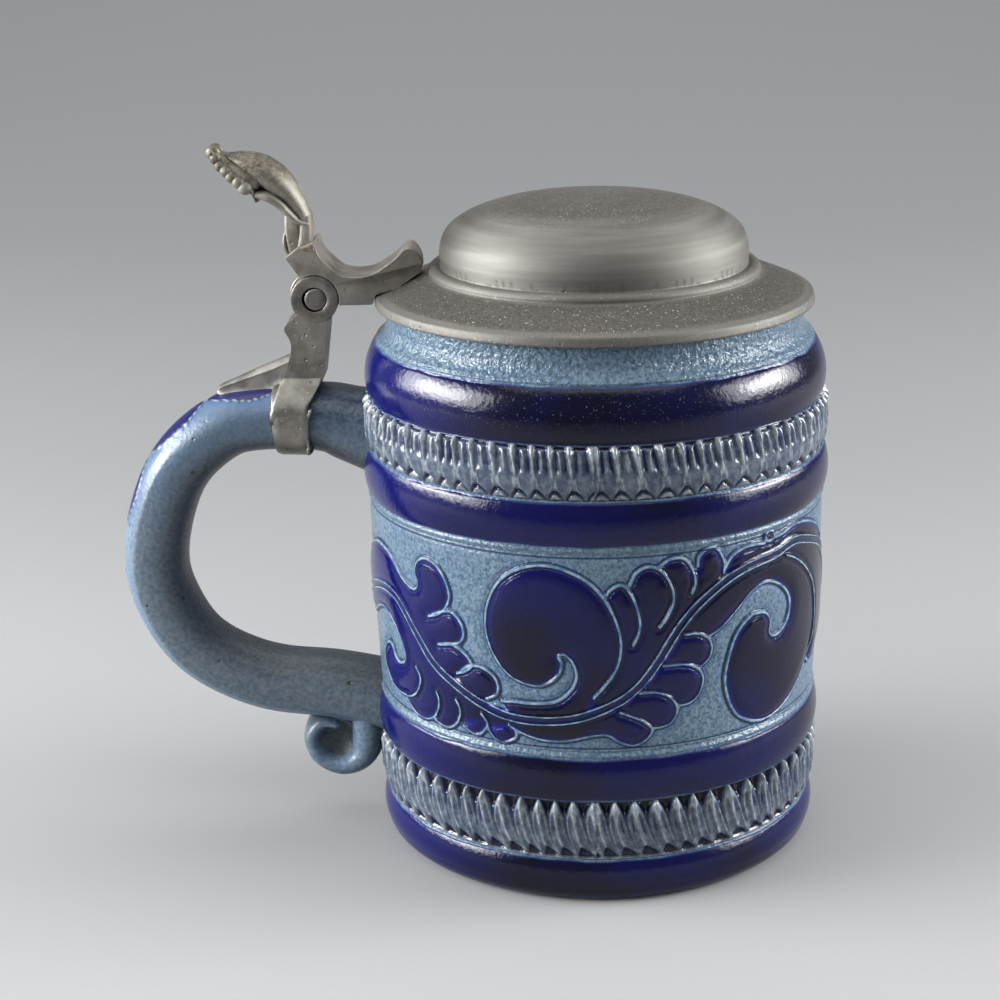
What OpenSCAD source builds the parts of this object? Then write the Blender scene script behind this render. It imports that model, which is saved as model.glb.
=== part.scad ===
// Half-litre stoneware beer stein with a hinged pewter lid, in millimetres.
// +Z is up, the origin is the centre of the base's underside, and the handle
// points along -X. The lid turns about an axis parallel to Y, above the handle.

/* [Vessel] */
// Height of the stoneware rim above the base
body_h = 116.2; // [112:0.2:122]
// Radius of the plain field at its top, under the middle cobalt band
field_r = 48; // [47:0.1:49]
// Inside radius of the vessel below its neck
bore_r = 41.8; // [40:0.1:42.2]
// Thickness of the floor
floor_t = 6.5; // [5:0.5:8]

/* [Handle] */
// How far the handle's centre line stands out from the field
handle_reach = 46.5; // [43:0.1:50]
// Width of the handle across the hand, along Y
handle_w = 17; // [15:0.5:19]

/* [Hinge] */
// Total width of the five knuckles, along Y
hinge_w = 12; // [11:0.5:13]
// Width of the strap's stem under the knuckles, along Y
strap_w = 8.6; // [7.6:0.2:10]
// Outside radius of the strap's knuckles
knuckle_r = 4.9; // [4.6:0.1:5.1]
// Radius of the hinge pin
pin_r = 2.2; // [1.8:0.1:2.4]
// Radial clearance between the pin and the tang's knuckles
pin_gap = 0.06; // [0.03:0.01:0.1]

/* [Lid] */
// Height of the dome above the bead that it rises from
dome_h = 14.2; // [12:0.2:16]
// Radius of the dome at its foot
dome_r = 31.7; // [30.5:0.1:32.4]
// Thickness of the pewter
lid_t = 1.7; // [1.3:0.1:2]

/* [Thumblift] */
// Width of the thumblift's pad, along Y
thumb_w = 11; // [9:0.5:14]
// How far the thumblift is raised or lowered on its tang
thumb_lift = 0; // [-0.2:0.1:0.4]

/* [Hidden] */
$fn = 96;

// Radii that step in or out from the field
neck_r = field_r - 5;
lid_r = neck_r + 2.3;
mouth_r = neck_r - 3.8;

// The lid's underside lies this far above the rim
lid_rest = 0.05;
lid_seat_z = body_h + lid_rest;
flange_z = body_h + 1;
bead_z = body_h + 5;
dome_z = body_h + 6.4;
bead_r = dome_r + 2.3;

// Hinge axis: parallel to Y, outside the lid's edge and level with the rim
hinge_x = -(lid_r + 12);
hinge_z = body_h + 0.4;
knuckle_n = 5;
knuckle_gap = 0.1;
cam_out = 0.7;
slot_gap = 0.3;
pin_recess = 0.22;

// Where the handle's centre line meets the vessel
root_top_z = body_h - 25.7;
root_low_z = 30.2;
band_wall = 1.1;
band_gap = 0.05;
strap_foot_z = root_top_z + 9.2;

// Points on the circular arc from p to q that bulges s to the right of that way
function bow(p, q, s, n = 10) =
    let (c = norm(q - p), r = (c * c / 4 + s * s) / (2 * s), u = (q - p) / c)
    let (m = (p + q) / 2 + [-u[1], u[0]] * (r - s))
    let (a0 = atan2(p[1] - m[1], p[0] - m[0]), turn = 2 * asin(c / 2 / r))
    [for (i = [1 : n]) m + abs(r) * [cos(a0 + turn * i / n), sin(a0 + turn * i / n)]];

// Smooth curve through the inner points of a list, with n steps between points
function spline_at(p, i, t) =
    let (a = p[max(i - 1, 0)], b = p[i], c = p[i + 1], d = p[min(i + 2, len(p) - 1)])
    0.5 * (2 * b + (c - a) * t + (2 * a - 5 * b + 4 * c - d) * t * t
        + (3 * b - a - 3 * c + d) * t * t * t);
function spline(p, n = 6) =
    [for (i = [0 : len(p) - 2]) for (k = [0 : n - 1]) spline_at(p, i, k / n),
     p[len(p) - 1]];

// Outer outline of the vessel, from the base up to the mouth
function vessel_outside() = concat(
    [[0, 0], [field_r - 5.6, 0]],
    bow([field_r - 5.6, 0], [field_r - 1.9, 3.4], 0.85, 6),
    bow([field_r - 1.9, 3.4], [field_r - 2.3, 9.4], 0.7, 8),
    [[field_r - 2.2, 9.6]],
    bow([field_r - 2.2, 9.6], [field_r - 1.7, 22.6], 1.1, 10),
    [[field_r - 1.5, 22.9]],
    bow([field_r - 1.5, 22.9], [field_r - 1.3, 31.6], 0.8, 8),
    [[field_r - 1.1, 32.2], [field_r - 1.2, 32.8]],
    bow([field_r - 1.2, 32.8], [field_r, body_h - 40.6], 0.35, 8),
    [[field_r - 0.1, body_h - 39.8]],
    bow([field_r - 0.1, body_h - 39.8], [field_r - 0.1, body_h - 31], 0.75, 8),
    [[field_r - 0.5, body_h - 30.6]],
    bow([field_r - 0.5, body_h - 30.6], [field_r - 0.5, body_h - 19.5], 1.1, 10),
    [[field_r - 0.7, body_h - 19.2]],
    bow([field_r - 0.7, body_h - 19.2], [field_r - 2.3, body_h - 8.7], 1.25, 10),
    [[field_r - 2.4, body_h - 8.2], [field_r - 2.8, body_h - 7.7]],
    bow([field_r - 2.8, body_h - 7.7], [neck_r, body_h - 4.2], -0.5, 6),
    [[neck_r, body_h - 1]],
    bow([neck_r, body_h - 1], [neck_r - 1, body_h], 0.25, 4));

// Inner outline of the vessel, from the mouth down to the floor
function vessel_inside() = concat(
    [[mouth_r + 1.2, body_h]],
    bow([mouth_r + 1.2, body_h], [mouth_r, body_h - 1.4], 0.3, 4),
    [[mouth_r, body_h - 6]],
    bow([mouth_r, body_h - 6], [bore_r, body_h - 14], -0.3, 5),
    [[bore_r, floor_t + 12]],
    bow([bore_r, floor_t + 12], [bore_r - 12, floor_t], -3.4, 8),
    [[0, floor_t]]);

// The handle's centre line from the upper root to the lower: distance out from
// the field as a share of the reach, height as a share of the way up between
// the roots, thickness, and a factor on the width
handle_line = [
    [-0.06, 0.945, 17.6, 1.14], [0.07, 0.972, 15.6, 1.04], [0.2, 1, 14, 1],
    [0.5, 0.993, 12.8, 1], [0.68, 0.951, 13.2, 1], [0.89, 0.789, 13.3, 1],
    [1.00, 0.49, 13.4, 1], [0.93, 0.28, 13.3, 1], [0.78, 0.128, 13, 1],
    [0.5, 0.026, 13.5, 1], [0.2, 0, 13.9, 1], [-0.07, -0.045, 14.4, 1.05]];
function handle_point(p) =
    [-(field_r + p[0] * handle_reach),
     root_low_z + p[1] * (root_top_z - root_low_z), p[2], p[3] * handle_w];
handle_keys = [for (p = handle_line) handle_point(p)];

// Stretch of the centre line from one share of the way between two keys to another
function handle_stretch(i, t0, t1, n = 5) =
    [for (k = [0 : n]) spline_at(handle_keys, i, t0 + (t1 - t0) * k / n)];

// The tail of the handle, rolled up like a scroll under the lower root:
// x, height, thickness and width
scroll_line = [
    [-50, 26, 8, 14.6], [-49.8, 19, 7.4, 14.4], [-51.4, 14.4, 6.2, 14.2],
    [-55.8, 12.7, 5, 14], [-60.4, 14.8, 4.2, 13.6], [-62.1, 19.2, 3.8, 13.2],
    [-59.9, 22.6, 3.4, 12.6], [-56.6, 22.4, 3, 12]];

// One cross-section of a swept strip: a rounded oval across the path
section_n = 24;
function oval(p, way, grow = 0) =
    [for (k = [0 : section_n - 1])
        let (a = 360 * k / section_n, c = cos(a), s = sin(a))
        let (u = (p[2] / 2 + grow) * sign(c) * pow(abs(c), 0.85))
        let (v = (p[3] / 2 + grow) * sign(s) * pow(abs(s), 0.85))
        [p[0] - way[1] * u, v, p[1] + way[0] * u]];
function heading(path, i) =
    let (a = path[max(i - 1, 0)], b = path[min(i + 1, len(path) - 1)])
    let (d = [b[0] - a[0], b[1] - a[1]]) d / norm(d);

// Solid strip that follows a path of [x, z, thickness, width] in the XZ plane
module sweep(path, grow = 0) {
    n = len(path);
    points = [for (i = [0 : n - 1]) each oval(path[i], heading(path, i), grow)];
    sides = [for (i = [0 : n - 2]) for (k = [0 : section_n - 1])
        let (a = i * section_n + k, b = i * section_n + (k + 1) % section_n)
        [a, b, b + section_n, a + section_n]];
    ends = [[for (k = [section_n - 1 : -1 : 0]) k],
            [for (k = [0 : section_n - 1]) (n - 1) * section_n + k]];
    polyhedron(points, concat(sides, ends), convexity = 6);
}

// Plate with a side-view outline in the XZ plane, centred on the hinge's width
module plate(outline, w) {
    rotate([90, 0, 0]) linear_extrude(w, center = true) polygon(outline);
}

// Round bar along Y through the hinge axis
module along_hinge(r, y0, y1) {
    translate([hinge_x, y1, hinge_z]) rotate([90, 0, 0]) cylinder(r = r, h = y1 - y0);
}

// Every second knuckle: first = 0 gives the strap's three, first = 1 the tang's two
module knuckles(first, r, side_gap) {
    pitch = hinge_w / knuckle_n;
    for (k = [first : 2 : knuckle_n - 1])
        along_hinge(r, k * pitch - hinge_w / 2 + side_gap,
                    (k + 1) * pitch - hinge_w / 2 - side_gap);
}

// Stoneware vessel, with bulged bands between the neck, the field and the base
module mug_body() {
    color("slategray") rotate_extrude($fn = 144)
        polygon(concat(vessel_outside(), vessel_inside()));
}

// Stoneware loop handle, with its tail rolled under the lower root
module handle() {
    color("lightslategray") union() {
        sweep(spline(handle_keys, 4));
        sweep(spline(scroll_line, 3));
    }
}

// Pewter band cast round the handle, with a sloping saddle under the strap
module handle_band() {
    color("gray") difference() {
        union() {
            sweep(handle_stretch(2, 0.15, 0.72), band_wall);
            hull() {
                translate([-64.4, -strap_w / 2, strap_foot_z - 0.2])
                    cube([8, strap_w, 0.2]);
                translate([-66.8, -handle_w / 2 - 0.3, root_top_z + 4.4])
                    cube([7.2, handle_w + 0.6, 0.4]);
            }
        }
        sweep(handle_stretch(2, -0.1, 1), band_gap);
    }
}

// Pewter fin that tapers along the handle's crest, away from the strap
module tail_fin() {
    color("darkgray") difference() {
        hull() {
            translate([-63.4, -2.5, strap_foot_z - 1]) cube([0.6, 5, 5.2]);
            translate([-66.4, -2.5, strap_foot_z - 3]) cube([0.6, 5, 1]);
            translate([-78.9, -1, strap_foot_z - 4.3]) cube([0.6, 2, 2]);
        }
        sweep(handle_stretch(2, 0.3, 1, 3), band_wall + 0.02);
        sweep(handle_stretch(3, 0, 1.2), band_gap);
    }
}

// Pewter strap that stands on the band and carries three knuckles
module hinge_strap() {
    outline = concat(
        [[-56.3, strap_foot_z], [-54.8, body_h - 4.6], [-53.8, hinge_z - 2],
         [-54, hinge_z], [-61, hinge_z - 0.6], [-61.4, body_h - 2.9]],
        spline([[-64.1, body_h - 5.9], [-62.8, body_h - 9.2], [-63.3, body_h - 12.6],
                [-64.7, strap_foot_z]], 4));
    pitch = hinge_w / knuckle_n;
    color("dimgray") difference() {
        union() {
            plate(outline, strap_w);
            knuckles(0, knuckle_r, 0);
            translate([-cam_out, 0, 0]) along_hinge(knuckle_r, -pitch / 2, pitch / 2);
        }
        knuckles(1, knuckle_r + slot_gap, -knuckle_gap / 2);
        along_hinge(pin_r + pin_gap, -hinge_w, hinge_w);
        along_hinge(pin_r + pin_recess, -hinge_w, -hinge_w / 2 + 0.8);
        along_hinge(pin_r + pin_recess, hinge_w / 2 - 0.8, hinge_w);
    }
}

// Hinge pin, held in the strap's knuckles
module hinge_pin() {
    color("silver") along_hinge(pin_r, -hinge_w / 2, hinge_w / 2);
}

// Outer outline of the lid, from its edge over the flange and bead to the crown
function lid_outside() = concat(
    [[lid_r, body_h - 0.9], [lid_r - 0.5, flange_z]],
    bow([lid_r - 0.5, flange_z], [bead_r, bead_z - 0.1], 0.15, 5),
    [[bead_r + 0.1, bead_z + 0.3]],
    bow([bead_r + 0.1, bead_z + 0.3], [bead_r - 1.5, dome_z + 0.2], 0.5, 5),
    [[dome_r, dome_z]],
    dome_curve(dome_r, dome_z, dome_h));

// Half outline of the low dome: upright at its foot and nearly flat on top
function dome_curve(r, z, h) =
    [for (a = [6 : 7 : 90])
        [a > 89 ? 0 : r * pow(cos(a), 0.86), z + h * pow(sin(a), 0.72)]];

// Pewter lid: a low dome on a sloping flange, hollow underneath
module lid() {
    inner_r = dome_r - lid_t;
    vault = dome_curve(inner_r, dome_z, dome_h - lid_t);
    color("gray") rotate_extrude($fn = 144) polygon(concat(
        lid_outside(),
        [for (i = [len(vault) - 1 : -1 : 0]) vault[i]],
        [[inner_r, bead_z - lid_t], [neck_r - 3.6, flange_z + 0.4],
         [neck_r - 3.6, lid_seat_z], [neck_r + 0.7, lid_seat_z],
         [neck_r + 0.8, body_h - 0.9]]));
}

// Pewter tang: two knuckles, a heel and a tongue that lies on the lid's flange
module lid_tang() {
    outline = concat(
        [[-53, hinge_z - 1.2], [-44.8, hinge_z - 1.2], [-36, body_h + 5.3]],
        spline([[-35.3, body_h + 6.6], [-36, body_h + 9.3], [-38.5, body_h + 10.5],
                [-41.2, body_h + 8.1], [-46, body_h + 5.3], [-51.3, body_h + 5.3],
                [-55, body_h + 8.1], [-56.7, body_h + 11.3]], 4),
        [[-59.9, body_h + 11.3], [-63, body_h + 9.1], [-59.8, hinge_z + 4.3]]);
    pitch = hinge_w / knuckle_n;
    color("dimgray") difference() {
        union() {
            intersection() {
                plate(outline, hinge_w);
                tongue_plan();
            }
            knuckles(1, knuckle_r, knuckle_gap / 2);
        }
        knuckles(0, knuckle_r + slot_gap, -knuckle_gap / 2);
        along_hinge(knuckle_r + cam_out + slot_gap, -(pitch + knuckle_gap) / 2,
                    (pitch + knuckle_gap) / 2);
        along_hinge(pin_r + pin_gap, -hinge_w, hinge_w);
        rotate_extrude($fn = 144) polygon(concat([[0, body_h - 0.9]], lid_outside()));
    }
}

// Plan of the tang, with a rounded end towards the dome
module tongue_plan() {
    translate([0, 0, body_h - 10]) linear_extrude(30) union() {
        translate([-70, -hinge_w / 2]) square([29, hinge_w]);
        translate([-41, 0]) circle(r = hinge_w / 2);
    }
}

// The thumblift's spine from its foot on the tang to its tip:
// x, height, thickness and width as a share of the pad's
thumb_line = [
    [-60.7, 10.2, 5.6, 0.56], [-60.6, 13.7, 5.7, 0.56], [-61.5, 17.6, 5.7, 0.6],
    [-63.5, 20.8, 6.2, 0.75], [-66, 22.8, 8.3, 0.94], [-69.1, 24.9, 8.5, 1],
    [-72.7, 26.6, 7, 0.94], [-76, 28.3, 4, 0.76], [-79, 30.1, 1.8, 0.5]];

// Cast thumblift: a curved stem that swells into a lobed pad
module thumblift() {
    color("gray") difference() {
        sweep(spline([for (p = thumb_line)
            [p[0], body_h + p[1] + thumb_lift, p[2], p[3] * thumb_w]], 4));
        plate([[-56, body_h + 8], [-56, body_h + 11.3], [-59.9, body_h + 11.3],
               [-63, body_h + 9.1], [-66, body_h + 7]], 2 * thumb_w);
    }
}

// Brass-coloured solder in the corner between the thumblift and the tang
module thumblift_solder() {
    color("darkgoldenrod")
        plate([[-57.9, body_h + 11.3], [-58.2, body_h + 14], [-56.7, body_h + 11.3]], 5);
}

mug_body();
handle();
handle_band();
tail_fin();
hinge_strap();
hinge_pin();
lid();
lid_tang();
thumblift();
thumblift_solder();
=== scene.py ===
"""Looks of the half-litre stoneware stein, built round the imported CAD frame.

The mesh code works in millimetres. +Z is up and the handle points along -X."""
import math

import bmesh
import bpy
import numpy as np
from mathutils import Matrix, Vector


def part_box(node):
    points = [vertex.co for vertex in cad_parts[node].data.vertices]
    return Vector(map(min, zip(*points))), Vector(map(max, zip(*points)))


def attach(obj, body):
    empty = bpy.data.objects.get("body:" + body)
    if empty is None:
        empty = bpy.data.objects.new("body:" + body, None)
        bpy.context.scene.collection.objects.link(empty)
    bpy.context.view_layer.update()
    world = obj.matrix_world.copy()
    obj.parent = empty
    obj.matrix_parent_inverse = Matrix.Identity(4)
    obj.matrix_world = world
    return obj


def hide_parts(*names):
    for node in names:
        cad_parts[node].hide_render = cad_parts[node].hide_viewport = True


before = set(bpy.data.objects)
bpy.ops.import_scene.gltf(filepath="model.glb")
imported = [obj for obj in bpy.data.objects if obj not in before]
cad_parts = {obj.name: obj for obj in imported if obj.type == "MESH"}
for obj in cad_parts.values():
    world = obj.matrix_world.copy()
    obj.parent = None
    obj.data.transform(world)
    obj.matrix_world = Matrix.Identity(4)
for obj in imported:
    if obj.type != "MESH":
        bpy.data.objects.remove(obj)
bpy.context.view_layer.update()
MM = 0.001
F = 48.0  # radius of the plain field, under the middle cobalt band
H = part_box("mug_body")[1][2] / MM  # height of the rim
HINGE_X, HINGE_Z = -57.3, H + 0.4
KNUCKLE = 2.4  # pitch of the five knuckles along Y
KNUCKLE_R = 4.9
LEAVES = 70  # in each gadroon row
HALF_TURN = 148.28  # half the way round the vessel at the frieze
RING = 320  # points round the vessel and the lid
rng = np.random.default_rng(7)


# ---------------------------------------------------------------- shape helpers
def bow(p, q, s, n=14):
    """Points on the circular arc from p to q that bulges s to the right of that way."""
    (px, py), (qx, qy) = p, q
    c = math.hypot(qx - px, qy - py)
    r = (c * c / 4 + s * s) / (2 * s)
    ux, uy = (qx - px) / c, (qy - py) / c
    mx, my = (px + qx) / 2 - uy * (r - s), (py + qy) / 2 + ux * (r - s)
    a0 = math.atan2(py - my, px - mx)
    turn = 2 * math.asin(c / 2 / r)
    return [(mx + abs(r) * math.cos(a0 + turn * i / n), my + abs(r) * math.sin(a0 + turn * i / n))
            for i in range(1, n + 1)]


def outline(*steps):
    """Outline through corners (x, z) and arcs (x, z, bulge[, n]) that start at the last point."""
    points = []
    for s in steps:
        points += [s] if len(s) == 2 else bow(points[-1], s[:2], *s[2:])
    return points


def smooth(points, n=6):
    """Catmull-Rom curve through points of any dimension, n steps between points."""
    p = np.asarray(points, float)
    p = np.vstack([p[:1], p, p[-1:]])
    t = (np.arange(n) / n)[:, None]
    out = []
    for i in range(len(p) - 3):
        a, b, c, d = p[i:i + 4]
        out.append(0.5 * (2 * b + (c - a) * t + (2 * a - 5 * b + 4 * c - d) * t ** 2
                          + (3 * b - a - 3 * c + d) * t ** 3))
    return np.vstack(out + [p[-1:]])


def step(x, lo, hi):
    t = np.clip((x - lo) / (hi - lo), 0, 1)
    return t * t * (3 - 2 * t)


def bump(x, w):
    return np.exp(-(x / w) ** 2)


def object_from(verts, faces, name="part", attrs=None):
    """Smooth mesh object from vertices in millimetres, with float attributes on its points."""
    me = bpy.data.meshes.new(name)
    me.from_pydata((np.asarray(verts, float) * MM).tolist(), [], [tuple(int(i) for i in f) for f in faces])
    for key, values in (attrs or {}).items():
        layer = me.attributes.new(key, "FLOAT", "POINT")
        layer.data.foreach_set("value", np.asarray(values, np.float32).ravel())
    me.update()
    me.polygons.foreach_set("use_smooth", [True] * len(me.polygons))
    ob = bpy.data.objects.new(name, me)
    bpy.context.scene.collection.objects.link(ob)
    return ob


def grid(pts, wrap_u=False, wrap_v=False, name="part", attrs=None, merge=1e-7):
    """Surface through points [nu, nv, 3]. wrap_v without wrap_u is a tube, whose ends are capped.

    Points nearer than merge, in metres, become one."""
    nu, nv = pts.shape[:2]
    iu = np.arange(nu if wrap_u else nu - 1)
    iv = np.arange(nv if wrap_v else nv - 1)
    a, b = np.meshgrid(iu, iv, indexing="ij")
    a2, b2 = (a + 1) % nu, (b + 1) % nv
    faces = np.stack([a * nv + b, a2 * nv + b, a2 * nv + b2, a * nv + b2], -1).reshape(-1, 4).tolist()
    verts = pts.reshape(-1, 3)
    if wrap_v and not wrap_u:
        for ring, flip in ((0, True), (nu - 1, False)):
            centre = len(verts)
            verts = np.vstack([verts, pts[ring].mean(0)[None]])
            for k in range(nv):
                f = [ring * nv + k, ring * nv + (k + 1) % nv, centre]
                faces.append(f if flip else f[::-1])
        attrs = {k: np.append(np.ravel(x), [np.ravel(x)[:nv].mean(), np.ravel(x)[-nv:].mean()])
                 for k, x in (attrs or {}).items()}
    ob = object_from(verts, faces, name, attrs)
    if merge:
        weld(ob, merge)
    return ob


def revolved(prof, seg):
    """Points of a profile of (radius, height) turned about Z."""
    r, z = np.asarray(prof, float).T
    th = np.linspace(0, 2 * np.pi, seg, endpoint=False)[:, None]
    return np.stack(np.broadcast_arrays(np.cos(th) * r, np.sin(th) * r, z), -1)


def revolved_y(prof, seg, x=HINGE_X, z=HINGE_Z):
    """Points of a profile of (radius, y) turned about the line along Y through x, z."""
    return revolved(prof, seg)[..., [0, 2, 1]] + (x, 0, z)


def lathe(name, prof, attrs=None):
    """Closed turned shell; attrs holds one value for each point of the profile."""
    attrs = {k: np.broadcast_to(v, (RING, len(prof))) for k, v in (attrs or {}).items()}
    return grid(revolved(prof, RING), wrap_u=True, name=name, attrs=attrs, merge=1e-6)


def weld(ob, dist):
    bm = bmesh.new()
    bm.from_mesh(ob.data)
    bmesh.ops.remove_doubles(bm, verts=bm.verts, dist=dist)
    bmesh.ops.recalc_face_normals(bm, faces=bm.faces)
    bm.to_mesh(ob.data)
    bm.free()
    ob.data.update()


def bevel(ob, width, segments=3, angle=28):
    m = ob.modifiers.new("edge", "BEVEL")
    m.width, m.segments, m.limit_method = width * MM, segments, "ANGLE"
    m.angle_limit = math.radians(angle)
    m.harden_normals = True
    return ob


def plate(line, half_width, edge=0.4, rows=(), width_at=None):
    """Plate in the XZ plane from y = -half_width to half_width.

    width_at(x, z) gives the half width where it varies; rows is a list of (y, outline)
    between the two faces, for a plate whose outline changes across its width."""
    rows = [(-9e9, line), *rows, (9e9, line)]
    verts, n = [], len(line)
    for y, points in rows:
        for x, z in points:
            w = width_at(x, z) if width_at else half_width
            verts.append((float(x), min(max(y, -w), w), float(z)))
    faces = [tuple(range(n)), tuple(range(len(verts) - 1, len(verts) - n - 1, -1))]
    for k in range(len(rows) - 1):
        faces += [(k * n + i, (k + 1) * n + i, (k + 1) * n + (i + 1) % n, k * n + (i + 1) % n)
                  for i in range(n)]
    ob = object_from(verts, faces)
    weld(ob, 1e-7)
    return bevel(ob, edge)


def slotted(outline_at, sides, leaves, cam):
    """Rows for a plate with three kinds of slot across the hinge: outline_at(radius)
    draws the outline with its hinge arc at that radius."""
    cuts = ((-3.6, sides, leaves), (-1.2, leaves, cam), (1.2, cam, leaves), (3.6, leaves, sides))
    return [(y, outline_at(r)) for y, first, then in cuts for r in (first, then)]


def hinge_arc(r, angles):
    return [(HINGE_X + r * math.cos(math.radians(a)), HINGE_Z + r * math.sin(math.radians(a)))
            for a in angles]


def section(p, q, half_t, half_w, k, power=0.85):
    """Ring of k points: a rounded oval across the way q - p, at p, as (x, y, z)."""
    d = (q - p) / np.linalg.norm(q - p)
    a = np.linspace(0, 2 * np.pi, k, endpoint=False)
    u = half_t * np.sign(np.cos(a)) * np.abs(np.cos(a)) ** power
    v = half_w * np.sign(np.sin(a)) * np.abs(np.sin(a)) ** power
    return np.stack([p[0] - d[1] * u, v, p[1] + d[0] * u], -1)


def eased(path, reach=26):
    """The same path with the small kinks between its keys drawn out."""
    k = np.hanning(2 * reach + 1)
    k /= k.sum()
    wide = np.vstack([2 * path[0] - path[reach:0:-1], path, 2 * path[-1] - path[-2:-reach - 2:-1]])
    return np.stack([np.convolve(wide[:, i], k, "valid") for i in range(path.shape[1])], 1)


def swept(path, k=48, power=0.85):
    """Rings along a path of [x, z, thickness, width]."""
    path = np.asarray(path, float)
    xz = path[:, :2]
    ahead = np.vstack([xz[1:], 2 * xz[-1:] - xz[-2:-1]])
    behind = np.vstack([2 * xz[:1] - xz[1:2], xz[:-1]])
    rings = []
    for i in range(len(path)):
        way = ahead[i] - behind[i]
        rings.append(section(xz[i], xz[i] + way, path[i, 2] / 2, path[i, 3] / 2, k, power))
    return np.array(rings)


def rounded_ends(path, n=5):
    """Adds stations that close both ends of a swept path with a dome."""
    out = []
    for end, nxt in ((path[0], path[1]), (path[-1], path[-2])):
        way = end[:2] - nxt[:2]
        way = way / np.linalg.norm(way)
        ts = np.sin(np.linspace(0.0, 0.97, n + 1)[1:] * np.pi / 2)
        out.append([np.r_[end[:2] + way * end[2] / 2 * t, end[2:] * math.sqrt(1 - t * t)] for t in ts])
    return np.vstack([out[0][::-1], path, out[1]])


def knuckle(y0, y1, e=0.25, bore=0.0, shift=0.0):
    """Round bar about the hinge axis, or ring with a bore, with edges eased by e."""
    r = KNUCKLE_R
    prof = [(bore, y0 + e * 0.4), (bore + e * 0.4, y0)] if bore else [(0, y0)]
    prof += [(r - e, y0), (r - e * 0.3, y0 + e * 0.3), (r, y0 + e),
             (r, y1 - e), (r - e * 0.3, y1 - e * 0.3), (r - e, y1)]
    prof += [(bore + e * 0.4, y1), (bore, y1 - e * 0.4), prof[0]] if bore else [(0, y1)]
    return grid(revolved_y(prof, 72, HINGE_X + shift), wrap_u=True)


def join(name, objects):
    """One object from several, with modifiers applied."""
    bm = bmesh.new()
    deps = bpy.context.evaluated_depsgraph_get()
    for ob in objects:
        me = bpy.data.meshes.new_from_object(ob.evaluated_get(deps))
        bm.from_mesh(me)
        bpy.data.meshes.remove(me)
        bpy.data.objects.remove(ob)
    me = bpy.data.meshes.new(name)
    bm.to_mesh(me)
    bm.free()
    ob = bpy.data.objects.new(name, me)
    bpy.context.scene.collection.objects.link(ob)
    return ob


# ---------------------------------------------------------------- materials
def rgb(r, g, b):
    """Linear colour of an 8-bit screen colour."""
    def lin(c):
        c = c / 255
        return c / 12.92 if c <= 0.04045 else ((c + 0.055) / 1.055) ** 2.4
    return (lin(r), lin(g), lin(b), 1.0)


class Mat:
    """Small wrapper that builds a node material. Colours are 8-bit screen colours."""

    def __init__(self, name):
        self.m = bpy.data.materials.new(name)
        self.m.use_nodes = True
        self.t = self.m.node_tree
        self.where = self.t.nodes.new("ShaderNodeTexCoord").outputs["Object"]

    def plug(self, socket, v):
        if hasattr(v, "is_output"):
            self.t.links.new(v, socket)
        else:
            socket.default_value = rgb(*v) if socket.type == "RGBA" else v

    def node(self, kind, out, values, **settings):
        n = self.t.nodes.new("ShaderNode" + kind)
        for key, v in settings.items():
            setattr(n, key, v)
        for key, v in values.items():
            self.plug(n.inputs[key], v)
        return n.outputs[out]

    def set(self, **values):
        for key, v in values.items():
            self.plug(self.t.nodes["Principled BSDF"].inputs[key.replace("_", " ")], v)
        return self.m

    def noise(self, scale, detail=2.0, rough=0.5, vector=None, distortion=0.0):
        return self.node("TexNoise", "Fac", {"Scale": scale, "Detail": detail, "Roughness": rough,
                                             "Distortion": distortion, "Vector": vector or self.where})

    def cells(self, scale):
        return self.node("TexVoronoi", "Distance", {"Scale": scale, "Vector": self.where})

    def attr(self, name):
        return self.node("Attribute", "Fac", {}, attribute_name=name)

    def ramp(self, value, lo, hi, a=0.0, b=1.0):
        return self.node("MapRange", "Result", {"Value": value, "From Min": lo, "From Max": hi, "To Min": a,
                                                "To Max": b}, interpolation_type="SMOOTHSTEP")

    def math(self, op, a, b=0.0, c=0.0):
        return self.node("Math", 0, {0: a, 1: b, 2: c}, operation=op)

    def mul(self, a, b):
        return self.math("MULTIPLY", a, b)

    def add(self, a, b):
        return self.math("ADD", a, b)

    def sub(self, a, b):
        return self.math("SUBTRACT", a, b)

    def abs(self, a):
        return self.math("ABSOLUTE", a)

    def most(self, a, b):
        return self.math("MAXIMUM", a, b)

    def centred(self, noise, spread):
        """Noise drawn about zero instead of one half."""
        return self.mul(self.sub(noise, 0.5), spread)

    def mix(self, fac, a, b):
        return self.node("Mix", 2, {0: fac, 6: a, 7: b}, data_type="RGBA")

    def blend(self, value, lo, hi, a, b):
        """Colour a below lo, b above hi."""
        return self.mix(self.ramp(value, lo, hi), a, b)

    def axis(self, i):
        return self.node("SeparateXYZ", i, {0: self.where})

    def length(self, name):
        """Length of the way held in the attributes name_u, name_z and name_far."""
        u, z, far = (self.mul(a, a) for a in (self.attr(name + end) for end in ("_u", "_z", "_far")))
        return self.math("SQRT", self.add(u, self.add(z, far)))

    def polar(self, r_scale, a_scale, z_scale):
        """Vector of radius, angle and height about Z, for turned surfaces."""
        x, y, z = (self.axis(i) for i in range(3))
        r = self.math("SQRT", self.add(self.mul(x, x), self.mul(y, y)))
        angle = self.math("ARCTAN2", y, x)
        return self.node("CombineXYZ", 0, {0: self.mul(r, r_scale), 1: self.mul(angle, a_scale),
                                           2: self.mul(z, z_scale)})

    def height(self, value, distance, strength=1.0, below=None):
        values = {"Distance": distance, "Strength": strength, "Height": value}
        if below:
            values["Normal"] = below
        return self.node("Bump", "Normal", values)


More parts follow.
